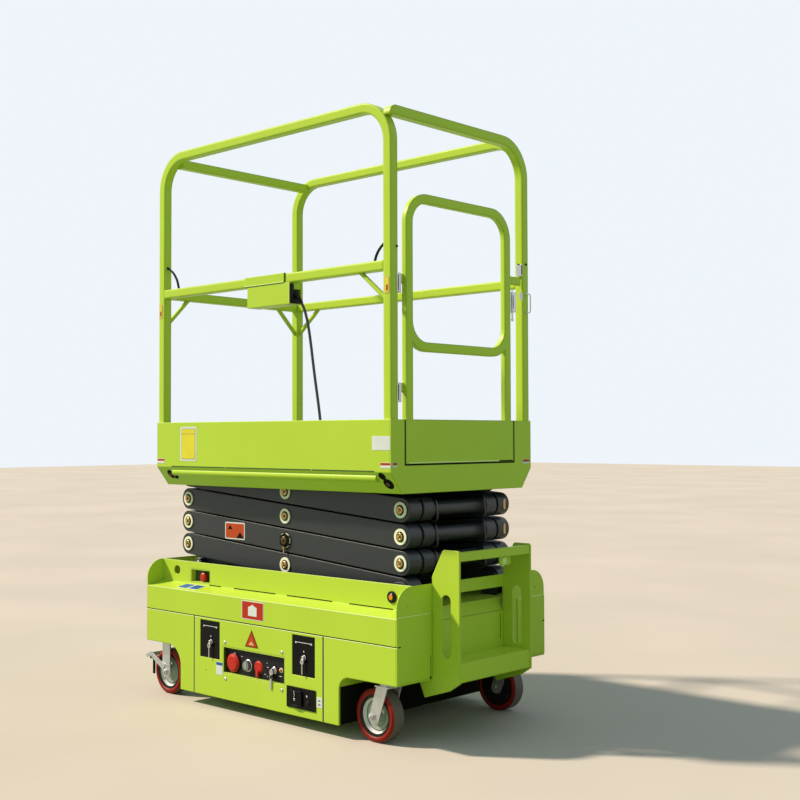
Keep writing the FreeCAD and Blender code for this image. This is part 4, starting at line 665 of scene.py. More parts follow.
# %% Hose loops and grease ports
for side_name, y in (("near", -0.114), ("far", 0.119)):
    points = [(0.536, y, 0.030), (0.549, y, 0.031), (0.560, y - 0.004, 0.024), (0.5645, y - 0.006, 0.002),
              (0.5645, y - 0.003, -0.020), (0.558, y + 0.002, -0.036), (0.546, y, -0.040), (0.536, y, -0.036)]
    hose = wire("hose_loop_1_" + side_name, "inner_1", sheath, [(x, b, low_of(2) + c) for x, b, c in points],
                0.0036)
    for level in range(2, 4):
        twin(hose, "hose_loop_%d_%s" % (level, side_name), "inner_%d" % level, (0, 0, RISE * (level - 1)))
PORT_HALF = 0.017
port = plate("grease_port_2", "outer_2", brass_pin, (0.5570, 0.5643), (0.2130, 0.2230),
             (low_of(2) - PORT_HALF, low_of(2) + PORT_HALF), corner=0.003, bevel=0.0008)
for level in (3, 4):
    twin(port, "grease_port_%d" % level, "outer_%d" % level, (0, 0, RISE * (level - 2)))

# %% [markdown]
# ## Seams and slots of the chassis
# The covers are folded sheets, and the lines that show are the dark gaps between them: one seam at
# the panel's top runs on to both corners, four drain slots lie at the wall's foot, and the end plate
# has a slit beside each ladder plate. Each is a thin dark strip that lies on its sheet.

# %% Seams and slots of the chassis
SIDE = 0.358
WALL = 0.290
END = 0.618
THIN = 0.0003
SHEET = (-SIDE - THIN, -SIDE + THIN)
LINE = {"corner": 0.0005}
both_sides("cover_seam", "chassis", shadow_gap, (-END, END), SHEET, (0.3028, 0.3058), **LINE)
# The pale strip under the seam, and the one beside each panel seam, paint the highlight on the fold.
both_sides("cover_fold_highlight", "chassis", pale_edge, (-END, END), SHEET, (0.2996, 0.3026), **LINE)
for number, x in enumerate([-0.3415, 0.3055], start=1):
    both_sides("panel_seam_%d" % number, "chassis", shadow_gap, (x - 0.0025, x + 0.0025), SHEET,
               (0.0420, 0.3026), **LINE)
    both_sides("panel_fold_highlight_%d" % number, "chassis", pale_edge, (x + 0.0027, x + 0.0050), SHEET,
               (0.0420, 0.2990), **LINE)
for end, x in (("entry", (END + 0.0027, END + 0.0033)), ("back", (-END - THIN, -END + THIN))):
    both_sides("corner_seam_" + end, "chassis", shadow_gap, x, (-SIDE + 0.001, -SIDE + 0.013),
               (0.3026, 0.3064), corner=0.001)
for number, x in enumerate([(-0.345, -0.281), (-0.210, 0.004), (0.061, 0.275), (0.351, 0.538)], start=1):
    both_sides("drain_slot_%d" % number, "chassis", shadow_gap, x, (-WALL - 0.0005, -WALL + THIN),
               (0.3988, 0.4022), corner=0.001)
SLIT = (0.198, 0.264)
for name, y in (("near", (-0.2152, -0.2134)), ("far", (0.1515, 0.1533))):
    plate("end_slit_" + name, "chassis", shadow_gap, (END + 0.0027, END + 0.0033), y, SLIT, corner=0.0008)
    turned("end_slit_hole_" + name, "chassis", shadow_gap, at(END + 0.003, sum(y) / 2, SLIT[0]), "x",
           [(-0.0003, 0.0040), (0.0005, 0.0040)], 20)
for name, y in (("near", (-0.3570, -0.2110)), ("far", (0.2110, 0.3570))):
    plate("end_cover_" + name, "chassis", lime_paint, (END - 0.0005, END + 0.0030), y, (0.1960, 0.3900),
          corner=0.0020, bevel=0.0008)
    # A pale strip along each end cover's top paints its highlight.
    plate("end_cover_edge_" + name, "chassis", pale_edge, (END, END + 0.0034), (y[0] + 0.001, y[1] - 0.001),
          (0.3886, 0.3906), corner=0.0006)
plate("door_slit", "chassis", shadow_gap, (END - THIN, END + THIN), (0.1240, 0.1262), (0.272, 0.352),
      corner=0.001)
print("seams and slots laid")

# %% [markdown]
# ## Screws
# Domed screws hold the recess and the end plates. One is modelled as a turned stack with a seat
# and a crown, and copied to each place. On the far side the offset in x has the wrong sign, so three
# of the five screws sit elsewhere on the panel and two lie past the back end.

# %% Screws
SCREW = [(-0.0004, 0.0056), (0.0010, 0.0056), (0.0022, 0.0047), (0.0030, 0.0026), (0.0026, 0.0018)]
FIRST_X = -0.1745
FIRST_Z = 0.2295
first = fitting("panel_screw_1", steel, FIRST_X, -SIDE, FIRST_Z, SCREW, 20)
for number, (x, z) in enumerate([(0.1135, 0.2305), (-0.171, 0.109), (0.113, 0.111)], start=2):
    twin(first, "panel_screw_%d" % number, "chassis", (x - FIRST_X, 0, z - FIRST_Z))
FAR_SCREWS = [(-0.325, 0.285), (0.285, 0.285), (-0.325, 0.065), (0.285, 0.065), (-0.02, 0.285)]
for number, (x, z) in enumerate(FAR_SCREWS, start=1):
    twin(first, "far_panel_screw_%d" % number, "chassis", (FIRST_X - x, 0, z - FIRST_Z), about=FIRST_X)
CORNER_Y = 0.332
CORNER_Z = 0.237
small = turned("end_screw_1", "chassis", lime_paint, at(END, -CORNER_Y, CORNER_Z), "x",
               [(-0.0003, 0.0042), (0.0008, 0.0042), (0.0018, 0.0030)], 16)
for number, (y, z) in enumerate([(CORNER_Y, CORNER_Z), (-0.310, 0.421), (0.310, 0.421)], start=2):
    twin(small, "end_screw_%d" % number, "chassis", (0, y + CORNER_Y, z - CORNER_Z))
fitting("panel_pin_hole", shadow_gap, -0.276, -SIDE, 0.126, [(-0.0003, 0.0020), (0.0004, 0.0020)], 16)

# %% [markdown]
# ## Panel windows
# Behind each black window sits a locked flap. A pale hinge wire with two ball ends crosses its top,
# a small catch and a barrel lock sit below, and the key hangs from the lock.

# %% Panel windows
PANE = -0.3565
WINDOWS = [((-0.290, -0.218), -0.2505, 0.2752, 0.223), ((0.178, 0.253), 0.2165, 0.2720, 0.226)]
for number, (x, middle, hinge, lock_z) in enumerate(WINDOWS, start=1):
    plate("flap_hinge_%d" % number, "chassis", white_film, (x[0] + 0.004, x[1] - 0.004),
          (PANE - 0.0012, PANE + 0.0002), (hinge - 0.0008, hinge + 0.0008), corner=0.0004)
    for side_name, x_ball in (("back", x[0] + 0.002), ("entry", x[1] - 0.002)):
        fitting("flap_ball_%d_%s" % (number, side_name), white_film, x_ball, PANE, hinge - 0.0015,
                [(-0.0002, 0.0034), (0.0014, 0.0034), (0.0028, 0.0024), (0.0034, 0.0010)], 16)
    fitting("flap_catch_%d" % number, steel, middle, PANE, lock_z + 0.019,
            [(-0.0002, 0.0030), (0.0018, 0.0028), (0.0026, 0.0014)], 16)
    fitting("flap_lock_%d" % number, steel, middle, PANE, lock_z,
            [(-0.0002, 0.0085), (0.0016, 0.0085), (0.0024, 0.0068), (0.0075, 0.0062), (0.0082, 0.0052),
             (0.0072, 0.0030)], 24)
    plates("chassis",
           ("flap_key_bow_%d" % number, steel, (middle - 0.0075, middle + 0.0075),
            (PANE - 0.0105, PANE - 0.0085), (lock_z - 0.020, lock_z - 0.004), 0.006),
           ("flap_key_blade_%d" % number, steel, (middle - 0.0022, middle + 0.0022),
            (PANE - 0.0100, PANE - 0.0088), (lock_z - 0.052, lock_z - 0.018), 0.0014),
           ("flap_key_slot_%d" % number, shadow_gap, (middle - 0.0012, middle + 0.0012),
            (PANE - 0.0108, PANE - 0.0084), (lock_z - 0.011, lock_z - 0.0075), 0.0008))
print("window fittings", 2)

# %% [markdown]
# ## Ground controls
# The recess has a black face inside green walls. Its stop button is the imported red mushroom; a
# ridged mode knob in a bright ring, a red lowering lever, a key and a small lamp stand beside it.


# %% Ground controls
def ridged_knob(name, body, mat, centre, radius, tall):
    """A knob with ridges: every other side face of a drum is drawn in."""
    piece = begin(bpy.ops.mesh.primitive_cylinder_add, vertices=24, radius=radius, depth=tall,
                  location=(0, 0, tall / 2))
    bpy.ops.object.transform_apply(location=True, rotation=False, scale=False)
    pick_edges(piece, lambda a, b: False)
    bpy.ops.mesh.select_mode(type="FACE")
    bpy.ops.object.mode_set(mode="OBJECT")
    for face in piece.data.polygons:
        turn = math.degrees(math.atan2(face.center.y, face.center.x)) % 30
        face.select = abs(face.normal.z) < 0.5 and turn < 15
    bpy.ops.object.mode_set(mode="EDIT")
    bpy.ops.mesh.extrude_region_shrink_fatten(TRANSFORM_OT_shrink_fatten={"value": -0.0011})
    bpy.ops.object.mode_set(mode="OBJECT")
    pick_edges(piece, lambda a, b: a.z > tall - 1e-5 and b.z > tall - 1e-5)
    bpy.ops.mesh.bevel(offset=0.0008, segments=1)
    bpy.ops.object.mode_set(mode="OBJECT")
    piece.rotation_euler = TURN["-y"].to_track_quat("Z", "Y").to_euler()
    piece.location = centre
    return settle(piece, name, body, mat)


FACE = -0.3460
ROW = 0.165
MODE_X = -0.066
plate("ground_face", "chassis", black_matt, (-0.1805, 0.1245), (FACE, -0.3345), (0.1306, 0.2137),
      corner=0.003, bevel=0.0008)
fitting("stop_collar", black_gloss, -0.139, FACE, ROW,
        [(-0.0002, 0.0340), (0.0022, 0.0340), (0.0034, 0.0325), (0.0034, 0.020)], 36)
fitting("mode_ring", steel, MODE_X, FACE, ROW,
        [(-0.0002, 0.0205), (0.0030, 0.0205), (0.0042, 0.0190), (0.0042, 0.0165), (0.0020, 0.0160)], 36)
ridged_knob("mode_knob", "chassis", recess_grey, at(MODE_X, FACE - 0.001, ROW), 0.0158, 0.013)
plate("mode_pointer", "chassis", white_film, (-0.0676, -0.0644), (FACE - 0.0150, FACE - 0.0135),
      (0.157, 0.176), corner=0.001)
plate("lowering_lever", "chassis", red_cap, (-0.0185, -0.0065), (FACE - 0.0110, FACE - 0.0040),
      (0.1345, 0.156), corner=0.0055, bevel=0.0012)
MARKS = [(0.027, 0.184, 0.004), (0.031, 0.171, 0.008), (0.018, 0.147, 0.007), (0.030, 0.142, 0.004),
         (0.094, 0.150, 0.012), (-0.100, 0.190, 0.006)]
for number, (x, z, wide) in enumerate(MARKS, start=1):
    plate("ground_mark_%d" % number, "chassis", white_film, (x - wide / 2, x + wide / 2),
          (FACE - 0.0004, FACE + 0.0002), (z - 0.001, z + 0.001), corner=0.0008)
fitting("key_barrel", steel, 0.064, FACE, ROW,
        [(-0.0002, 0.0125), (0.0026, 0.0125), (0.0040, 0.0105), (0.0070, 0.0098), (0.0080, 0.0082),
         (0.0070, 0.0040)], 28)
plates("chassis",
       ("key_bow", steel, (0.0555, 0.0725), (FACE - 0.0152, FACE - 0.0134), (0.152, 0.171), 0.0075),
       ("key_shank", steel, (0.0622, 0.0658), (FACE - 0.0148, FACE - 0.006), (0.1634, 0.1666), 0.0012))
KEY_RING = [(0.0, 0.0085), (0.006, 0.006), (0.0085, 0.0), (0.006, -0.006), (0.0, -0.0085),
            (-0.006, -0.006), (-0.0085, 0.0), (-0.006, 0.006)]
wire("key_ring", "chassis", steel, [(0.064, FACE - 0.0143 + 0.8 * dy, 0.1475 + dz) for dy, dz in KEY_RING],
     0.0008, closed=True)
plate("key_tag", "chassis", zinc, (0.0575, 0.0665), (FACE - 0.0158, FACE - 0.0142), (0.1070, 0.1415),
      corner=0.0040)
fitting("ground_lamp_ring", white_film, 0.0985, FACE, 0.170,
        [(-0.0002, 0.0080), (0.0020, 0.0080), (0.0030, 0.0066), (0.0030, 0.0050)], 24)
fitting("ground_lamp", orange_lens, 0.0985, FACE, 0.170,
        [(0.0028, 0.0056), (0.0055, 0.0052), (0.0075, 0.0036), (0.0082, 0.0016)], 24)
# Painted shade: the dark green back of the recess in the wall, and dark lime strips on the ground recess's
# left wall, top and foot, where shade falls.
plates("chassis",
       ("wall_recess_shade", recess_shade_green, (-0.4475, -0.3445), (-0.2706, -0.2688), (0.4072, 0.4488), 0.002),
       ("ground_wall_shade", shade_lime, (-0.1812, -0.1802), (-0.3572, FACE), (0.1306, 0.2137), 0.0004),
       ("ground_top_shade", shade_lime, (-0.1806, 0.1246), (-0.3572, FACE), (0.2130, 0.2140), 0.0004),
       ("ground_face_foot_shade", shade_lime, (-0.1806, 0.1246), (-0.3520, FACE), (0.1301, 0.1312), 0.0004))
print("ground controls fitted")

# %% [markdown]
# ## Charging plate
# The black plate at the panel's lower corner carries a lidded inlet with a wire catch, two studs and
# a breaker button.

# %% Charging plate
SOCKET = -0.361
plate("inlet_lid", "chassis", black_gloss, (0.157, 0.214), (SOCKET - 0.006, SOCKET + 0.0004), (0.072, 0.121),
      corner=0.007, bevel=0.0016)
plate("inlet_lid_lip", "chassis", black_matt, (0.172, 0.199), (SOCKET - 0.0078, SOCKET - 0.0055),
      (0.0705, 0.0765), corner=0.002, bevel=0.0008)
wire("inlet_catch", "chassis", steel,
     [(0.181, SOCKET - 0.0062, 0.119), (0.183, SOCKET - 0.0085, 0.113), (0.187, SOCKET - 0.0088, 0.108),
      (0.184, SOCKET - 0.0088, 0.102), (0.180, SOCKET - 0.0070, 0.099)], 0.0012)
fitting("inlet_stud", steel, 0.183, SOCKET - 0.006, 0.092,
        [(0, 0.0034), (0.0014, 0.0030), (0.0020, 0.0014)], 16)
fitting("socket_stud_1", steel, 0.234, SOCKET, 0.108,
        [(-0.0003, 0.0036), (0.0010, 0.0036), (0.0020, 0.0024), (0.0024, 0.0010)], 16)
fitting("breaker_button", black_matt, 0.240, SOCKET, 0.088,
        [(-0.0003, 0.0085), (0.0016, 0.0085), (0.0024, 0.0072), (0.0024, 0.0050), (0.0060, 0.0046),
         (0.0066, 0.0036)], 24)

# %% [markdown]
# ## Blank labels
# The machine carries a few stickers. Each is a thin film with rounded corners, kept blank, with only
# the coloured fields that such stickers have. A three-sided disc, pressed to its height, gives the
# triangle.


# %% Blank labels
def film(name, body, mat, x, z, y, corner=0.004, lift=THIN):
    """A film on a wall that faces -Y."""
    return plate(name, body, mat, x, (y - lift - THIN, y - lift + THIN), z, corner=corner, bevel=0.0001)


def triangle(name, body, mat, x, z, half, tall, y, lift):
    """A film with three corners; x is its middle, z its foot."""
    piece = begin(bpy.ops.mesh.primitive_circle_add, vertices=3, radius=1, fill_type="NGON",
                  location=(0, 0, 0))
    piece.scale = (half / math.cos(math.radians(30)), tall / 1.5, 1)
    bpy.ops.object.transform_apply(location=False, rotation=False, scale=True)
    bpy.ops.object.mode_set(mode="EDIT")
    bpy.ops.mesh.select_all(action="SELECT")
    bpy.ops.mesh.bevel(offset=0.0022, segments=3, affect="VERTICES")
    bpy.ops.mesh.select_all(action="SELECT")
    bpy.ops.mesh.extrude_region_move(TRANSFORM_OT_translate={"value": (0, 0, 0.0005)})
    bpy.ops.mesh.select_all(action="SELECT")
    bpy.ops.mesh.normals_make_consistent(inside=False)
    bpy.ops.object.mode_set(mode="OBJECT")
    piece.rotation_euler.x = math.pi / 2
    piece.location = at(x, y - lift + THIN, z + tall / 3)
    return settle(piece, name, body, mat)


BOARD = -0.3407
ARM = -ARM_FACE
film("label_yellow_edge", "platform", white_film, (-0.447, -0.353), (0.834, 0.954), BOARD, 0.006)
film("label_yellow_line", "platform", grey_film, (-0.4395, -0.3605), (0.8405, 0.9475), BOARD, 0.003, 0.0006)
film("label_yellow", "platform", yellow_film, (-0.4380, -0.3620), (0.8420, 0.9460), BOARD, 0.002, 0.0009)
film("label_yellow_head", "platform", grey_film, (-0.4370, -0.3630), (0.9290, 0.9302), BOARD, 0.0004, 0.0012)
film("label_white", "platform", white_film, (0.501, 0.576), (0.878, 0.920), BOARD, 0.002)
film("label_red_edge", "chassis", white_film, (-0.0865, 0.0235), (0.3185, 0.3795), -SIDE, 0.003)
film("label_red_square", "chassis", red_film, (-0.084, 0.021), (0.321, 0.377), -SIDE, 0.002, 0.0006)
film("label_red_field", "chassis", white_film, (-0.053, -0.010), (0.331, 0.361), -SIDE, 0.002, 0.0009)
triangle("label_red_field_top", "chassis", white_film, -0.0315, 0.3595, 0.018, 0.0095, -SIDE, 0.0009)
triangle("label_triangle", "chassis", dark_brass, -0.036, 0.229, 0.034, 0.057, -SIDE, 0.0005)
triangle("label_triangle_red", "chassis", red_film, -0.036, 0.231, 0.030, 0.050, -SIDE, 0.0008)
triangle("label_triangle_field", "chassis", orange_film, -0.036, 0.234, 0.021, 0.035, -SIDE, 0.0011)
triangle("label_triangle_foot", "chassis", amber_film, -0.036, 0.2355, 0.015, 0.014, -SIDE, 0.0014)
film("label_blue", "chassis", white_film, (-0.221, -0.186), (0.118, 0.161), -SIDE, 0.002)
film("label_blue_band", "chassis", blue_film, (-0.220, -0.187), (0.150, 0.160), -SIDE, 0.001, 0.0006)
film("label_small_white", "chassis", white_film, (0.276, 0.301), (0.081, 0.113), -SIDE, 0.002)
film("label_small_dots", "chassis", grey_film, (0.283, 0.293), (0.100, 0.105), -SIDE, 0.001, 0.0006)
film("label_small_dots_low", "chassis", grey_film, (0.283, 0.293), (0.088, 0.093), -SIDE, 0.001, 0.0006)
SLOPE = math.atan2(0.013, 0.068)
for name, mat, x, y, z, corner in (
        ("label_ledge", white_film, (-0.463, -0.352), (-0.343, -0.298), (0.3928, 0.3934), 0.004),
        ("label_ledge_back", blue_film, (-0.461, -0.412), (-0.340, -0.301), (0.3932, 0.3938), 0.003),
        ("label_ledge_entry", blue_film, (-0.402, -0.354), (-0.340, -0.301), (0.3932, 0.3938), 0.003)):
    plate(name, "chassis", mat, x, y, z, corner=corner, tilt=SLOPE)
film("label_orange_edge", "outer_2", white_film, (-0.318, -0.211), (0.562, 0.621), ARM, 0.004)
film("label_orange", "outer_2", orange_film, (-0.314, -0.215), (0.566, 0.617), ARM, 0.002, 0.0006)
triangle("label_orange_shade_1", "outer_2", shadow_gap, -0.236, 0.567, 0.020, 0.022, ARM, 0.0009)
triangle("label_orange_shade_2", "outer_2", shadow_gap, -0.290, 0.596, 0.013, 0.016, ARM, 0.0009)
POST = -0.3367
for name, (back, entry) in (("entry", (0.552, 0.570)), ("back", (-0.579, -0.561))):
    film("label_post_" + name, "platform", amber_film, (back, entry), (1.346, 1.396), POST, 0.001)
    film("label_post_field_" + name, "platform", yellow_film, (back + 0.003, entry - 0.003), (1.350, 1.392),
         POST, 0.001, 0.0006)
    film("label_post_mark_" + name, "platform", orange_film, (back + 0.005, entry - 0.005), (1.354, 1.372),
         POST, 0.003, 0.0009)
BAND = (0.8335, 0.8405)
for end, sign in (("entry", 1), ("back", -1)):
    edge = 0.580 if sign > 0 else 0.584
    x = sorted((sign * (edge - 0.0445), sign * (edge - 0.002)))
    field = sorted((sign * (edge - 0.0440), sign * (edge - 0.003)))
    both_sides("label_strip_" + end, "platform", white_film, x, (BOARD - 0.0006, BOARD), (0.8245, 0.8415),
               corner=0.001)
    both_sides("label_strip_red_" + end, "platform", red_film, field, (BOARD - 0.0009, BOARD - 0.0003), BAND,
               corner=0.001)
    x = sorted((sign * edge, sign * (edge + 0.0006)))
    red = sorted((sign * (edge + 0.0003), sign * (edge + 0.0009)))
    for side_name, y in (("near", (-0.3345, -0.3150)), ("far", (0.2970, 0.3335))):
        if sign < 0:
            y = (-y[1], -y[0])
        plates("platform",
               ("label_wrap_%s_%s" % (end, side_name), white_film, x, y, (0.8270, 0.8410), 0.001),
               ("label_wrap_red_%s_%s" % (end, side_name), red_film, red, (y[0] + 0.001, y[1] - 0.001),
                BAND, 0.001))
print("labels laid")

# %% [markdown]
# ## Platform edges
# Under each toe board a slit of painted shade shows over the rolled lip, stitched across at two places.
# At the lip's ends three dark bolts sit in holes in the slanted skirt, and a fourth hole is empty.
# Round the gate's kick plate the seam is dark, and a thin pale strip paints the highlight on the
# plate's folded foot.

# %% Platform edges
# The slits are strips of dark lime, painted shade in the gap.
for number, x in enumerate([(-0.498, -0.196), (-0.191, 0.230), (0.235, 0.510)], start=1):
    both_sides("lip_slit_%d" % number, "platform", shade_lime, x, (BOARD - 0.0005, BOARD + 0.0004),
               (0.8122, 0.8164), corner=0.001)
SKIRT_TOP = 0.812
SKIRT_FOOT = 0.747
SKIRT_OUT = 0.3407
SKIRT_IN = 0.292
SKIRT = Vector((0, -(SKIRT_TOP - SKIRT_FOOT), -(SKIRT_OUT - SKIRT_IN))).normalized()


def on_skirt(x, z):
    """The place on the near skirt's outside at this height."""
    return at(x, -SKIRT_IN - (SKIRT_OUT - SKIRT_IN) * (z - SKIRT_FOOT) / (SKIRT_TOP - SKIRT_FOOT), z)


EMPTY_HOLE = 2
spots = [(0.545, 0.777, 0.0195), (0.534, 0.800, 0.0135), (-0.526, 0.786, 0.0185), (-0.507, 0.783, 0.0170)]
for number, (x, z, radius) in enumerate(spots, start=1):
    hole = turned("lip_hole_%d_near" % number, "platform", shadow_gap, on_skirt(x, z), SKIRT,
                  [(-0.0003, radius), (0.0006, radius)], 24)
    twin(hole, "lip_hole_%d_far" % number, "platform", about=x)
    if number != EMPTY_HOLE:
        bolt = turned("lip_bolt_%d_near" % number, "platform", dark_brass, on_skirt(x, z), SKIRT,
                      [(0.0004, 0.0076), (0.0040, 0.0076), (0.0052, 0.0062), (0.0052, 0.0034),
                       (0.0038, 0.0026)], 6)
        twin(bolt, "lip_bolt_%d_far" % number, "platform", about=x)
KICK = 0.580
KICK_SEAM = (KICK - 0.0004, KICK + 0.0003)
plates("platform",
       ("kick_seam_near", shadow_gap, KICK_SEAM, (-0.2822, -0.2768), (0.8325, 0.9695), 0.0020),
       ("kick_seam_far", shadow_gap, KICK_SEAM, (0.2468, 0.2522), (0.8325, 0.9695), 0.0020),
       ("kick_seam_foot", shadow_gap, KICK_SEAM, (-0.2822, 0.2522), (0.8310, 0.8362), 0.0020))
# Painted highlight: a pale strip on the kick plate's folded foot.
plate("kick_foot_highlight", "gate", pale_edge, (KICK, KICK + 0.0022), (-0.264, 0.170), (0.8375, 0.8412),
      corner=0.0012, bevel=0.0005)
plate("kick_foot_wedge", "gate", shadow_gap, (KICK, KICK + 0.0008), (0.172, 0.243), (0.8372, 0.8405),
      corner=0.0012)
print("platform edges done")

# %% [markdown]
# ## Gate hardware
# The latch is a bright barrel on the gate with a keeper, a spring clip and a wire bail on the far
# post. Wire stays join the middle rail to the posts.

# %% Gate hardware
LATCH_X = 0.566
turned("latch_barrel", "gate", steel, at(LATCH_X, 0.262, 1.330), "z",
       [(0, 0.0050), (0.002, 0.0068), (0.064, 0.0068), (0.066, 0.0050), (0.066, 0.0030), (0.073, 0.0030),
        (0.0745, 0.0018)], 20)
plates("gate",
       ("latch_plate", steel, (0.5745, 0.5760), (0.2500, 0.2640), (1.3340, 1.3960), 0.003),
       ("latch_slot", shadow_gap, (0.5757, 0.5763), (0.2535, 0.2565), (1.3420, 1.3880), 0.001))
LEAF_Y = (-0.3110, -0.2925)
plates("platform", ("latch_keeper", zinc, (0.5745, 0.5760), (0.2900, 0.3066), (1.3740, 1.4000), 0.002))
for number, z in enumerate([(1.3512, 1.4092), (1.0220, 1.0800)], start=1):
    plates("platform",
           ("hinge_leaf_%d" % number, zinc, (0.5762, 0.5774), LEAF_Y, z, 0.002),
           ("hinge_leaf_slot_%d" % number, shadow_gap, (0.5772, 0.5777),
            (LEAF_Y[0] + 0.004, LEAF_Y[0] + 0.0075), (z[0] + 0.006, z[1] - 0.006), 0.001))
turned("latch_drop", "gate", steel, at(0.571, 0.256, 1.3325), "-z",
       [(-0.004, 0.0030), (0.020, 0.0030), (0.023, 0.0045), (0.030, 0.0045), (0.032, 0.0030)], 16)
plate("clip_body", "platform", steel, (0.5560, 0.5760), (0.2990, 0.3066), (1.4560, 1.4960), corner=0.002,
      bevel=0.0008)
plates("platform",
       ("clip_slot", shadow_gap, (0.5755, 0.5765), (0.3000, 0.3042), (1.4600, 1.4920), 0.001),
       ("clip_spring", black_matt, (0.5650, 0.5690), (0.2900, 0.2995), (1.4940, 1.4972), 0.0012))
wire("post_bail", "platform", zinc,
     [(0.5780, 0.318, 1.3965), (0.5815, 0.326, 1.3975), (0.5830, 0.338, 1.3965), (0.5830, 0.3405, 1.3900),
      (0.5830, 0.3405, 1.3650), (0.5830, 0.3405, 1.3400), (0.5830, 0.337, 1.3345), (0.5815, 0.326, 1.3345),
      (0.5780, 0.318, 1.3355)], 0.0021)
for name, y, z in (("post_screw_near", -0.311, 1.488), ("post_screw_far", 0.3235, 1.4965)):
    turned(name, "platform", shadow_gap, at(0.578, y, z), "x",
           [(-0.0004, 0.0036), (0.0014, 0.0036), (0.0022, 0.0024)], 16)
STAYS = {
    "entry": [(0.496, 1.448), (0.500, 1.462), (0.510, 1.478), (0.522, 1.490), (0.536, 1.500), (0.550, 1.506)],
    "back": [(-0.483, 1.448), (-0.488, 1.468), (-0.497, 1.486), (-0.510, 1.502), (-0.524, 1.515),
             (-0.552, 1.530)],
}
for end, points in STAYS.items():
    wire("wire_stay_" + end, "platform", black_matt, [(x, -0.322, z) for x, z in points], 0.0042)
print("gate hardware fitted")

# %% [markdown]
# ## Control box
# The holder's dark opening shows the box's end with a flange. Inside the rail the operator sees a
# black face with a stop button, a short stick and two push buttons.

# %% Control box
BOX_IN = -0.2875
PANEL = BOX_IN + 0.002
OPERATOR_ROW = 1.382
HOOK_X = (-0.0955, 0.1015)
HOOK_Y = (-0.3400, -0.3393)
# Under the hook's lower edge a dark lime strip paints its shadow on the box face; pale strips paint the
# highlights on the hook's edge and the box's corner fold.
plates("platform",
       ("hook_shadow", shade_lime, HOOK_X, HOOK_Y, (1.4162, 1.4192), 0.0006),
       ("hook_edge", pale_edge, HOOK_X, HOOK_Y, (1.4193, 1.4212), 0.0006),
       ("hook_end_seam", shade_lime, (0.1010, 0.1040), (-0.3400, -0.3368), (1.4190, 1.4496), 0.0006),
       ("box_corner_highlight", pale_edge, (0.1262, 0.1280), (-0.3402, -0.3370), (1.3475, 1.4165), 0.0006),
       ("box_inner_flange", lime_paint, (0.1258, 0.1274), (-0.3190, -0.2885), (1.3960, 1.4160), 0.001),
       ("operator_face", black_matt, (-0.0600, 0.1080), (BOX_IN, BOX_IN + 0.0022), (1.3545, 1.4095), 0.004))
turned("operator_stop_ring", "platform", yellow_film, at(0.082, PANEL, OPERATOR_ROW), "y",
       [(0, 0.0185), (0.0012, 0.0185), (0.0020, 0.0170)], 28)
turned("operator_stop", "platform", red_cap, at(0.082, PANEL, OPERATOR_ROW), "y",
       [(0.001, 0.0085), (0.011, 0.0085), (0.0115, 0.0150), (0.0150, 0.0158), (0.0195, 0.0150),
        (0.0220, 0.0110), (0.0230, 0.0050)], 28)
turned("stick_bellows", "platform", black_matt, at(0.024, PANEL, OPERATOR_ROW), "y",
       [(0, 0.0165), (0.003, 0.0160), (0.0045, 0.0125), (0.006, 0.0140), (0.008, 0.0105), (0.0095, 0.0120),
        (0.0115, 0.0085), (0.013, 0.0095), (0.016, 0.0045)], 28)
turned("stick", "platform", black_gloss, at(0.024, BOX_IN + 0.016, OPERATOR_ROW), "y",
       [(0, 0.0040), (0.014, 0.0040), (0.018, 0.0075), (0.028, 0.0085), (0.034, 0.0075), (0.037, 0.0045)], 24)
button = turned("push_button_1", "platform", recess_grey, at(-0.020, PANEL, OPERATOR_ROW), "y",
                [(0, 0.0085), (0.0025, 0.0085), (0.0035, 0.0070), (0.0035, 0.0055), (0.0060, 0.0052),
                 (0.0066, 0.0042)], 24)
twin(button, "push_button_2", "platform", (-0.024, 0, 0))
turned("holder_screw", "platform", steel, at(0.104, -0.318, 1.3469), "-z", SCREW, 16)
print("control box dressed")

# %% [markdown]
# ## Wheel fixings
# Each axle ends in a hexagon nut on the fork's leg: a six-sided turned stack, modelled once and
# copied. The brake pedals have black pads and straps, and a flat black disc on each hub's inner side
# paints the shade that falls there under the chassis.

# %% Wheel fixings
WHEEL_HALF = 0.025
LEG_GAP = 0.0035
LEG_SHEET = 0.005
LEG_OUT = WHEEL_Y + WHEEL_HALF + LEG_GAP + LEG_SHEET
nut = turned("axle_nut_entry_near", "swivel_near", zinc, at(ENTRY_AXLE, -LEG_OUT - 0.0005, AXLE_LEVEL), "-y",
             [(-0.001, 0.0125), (0.0012, 0.0125), (0.0013, 0.0108), (0.0070, 0.0108), (0.0080, 0.0094),
              (0.0080, 0.0056), (0.0112, 0.0052), (0.0120, 0.0036)], 6)
twin(nut, "axle_nut_back_near", "chassis", (BACK_AXLE - ENTRY_AXLE, 0, 0))
twin(nut, "axle_nut_entry_far", "swivel_far", about=ENTRY_AXLE)
twin(nut, "axle_nut_back_far", "chassis", (BACK_AXLE - ENTRY_AXLE, 0, 0), about=ENTRY_AXLE)
for side_name, sign in (("near", -1), ("far", 1)):
    plate("pedal_pad_" + side_name, "chassis", black_matt, (-0.6655, -0.6420),
          sorted((sign * 0.3130, sign * 0.2870)), (0.1110, 0.1190), corner=0.003, bevel=0.001)
    plate("pedal_strap_" + side_name, "chassis", black_matt, (-0.6560, -0.6500),
          sorted((sign * 0.3060, sign * 0.2980)), (0.0560, 0.1140), corner=0.0025, bevel=0.0006)
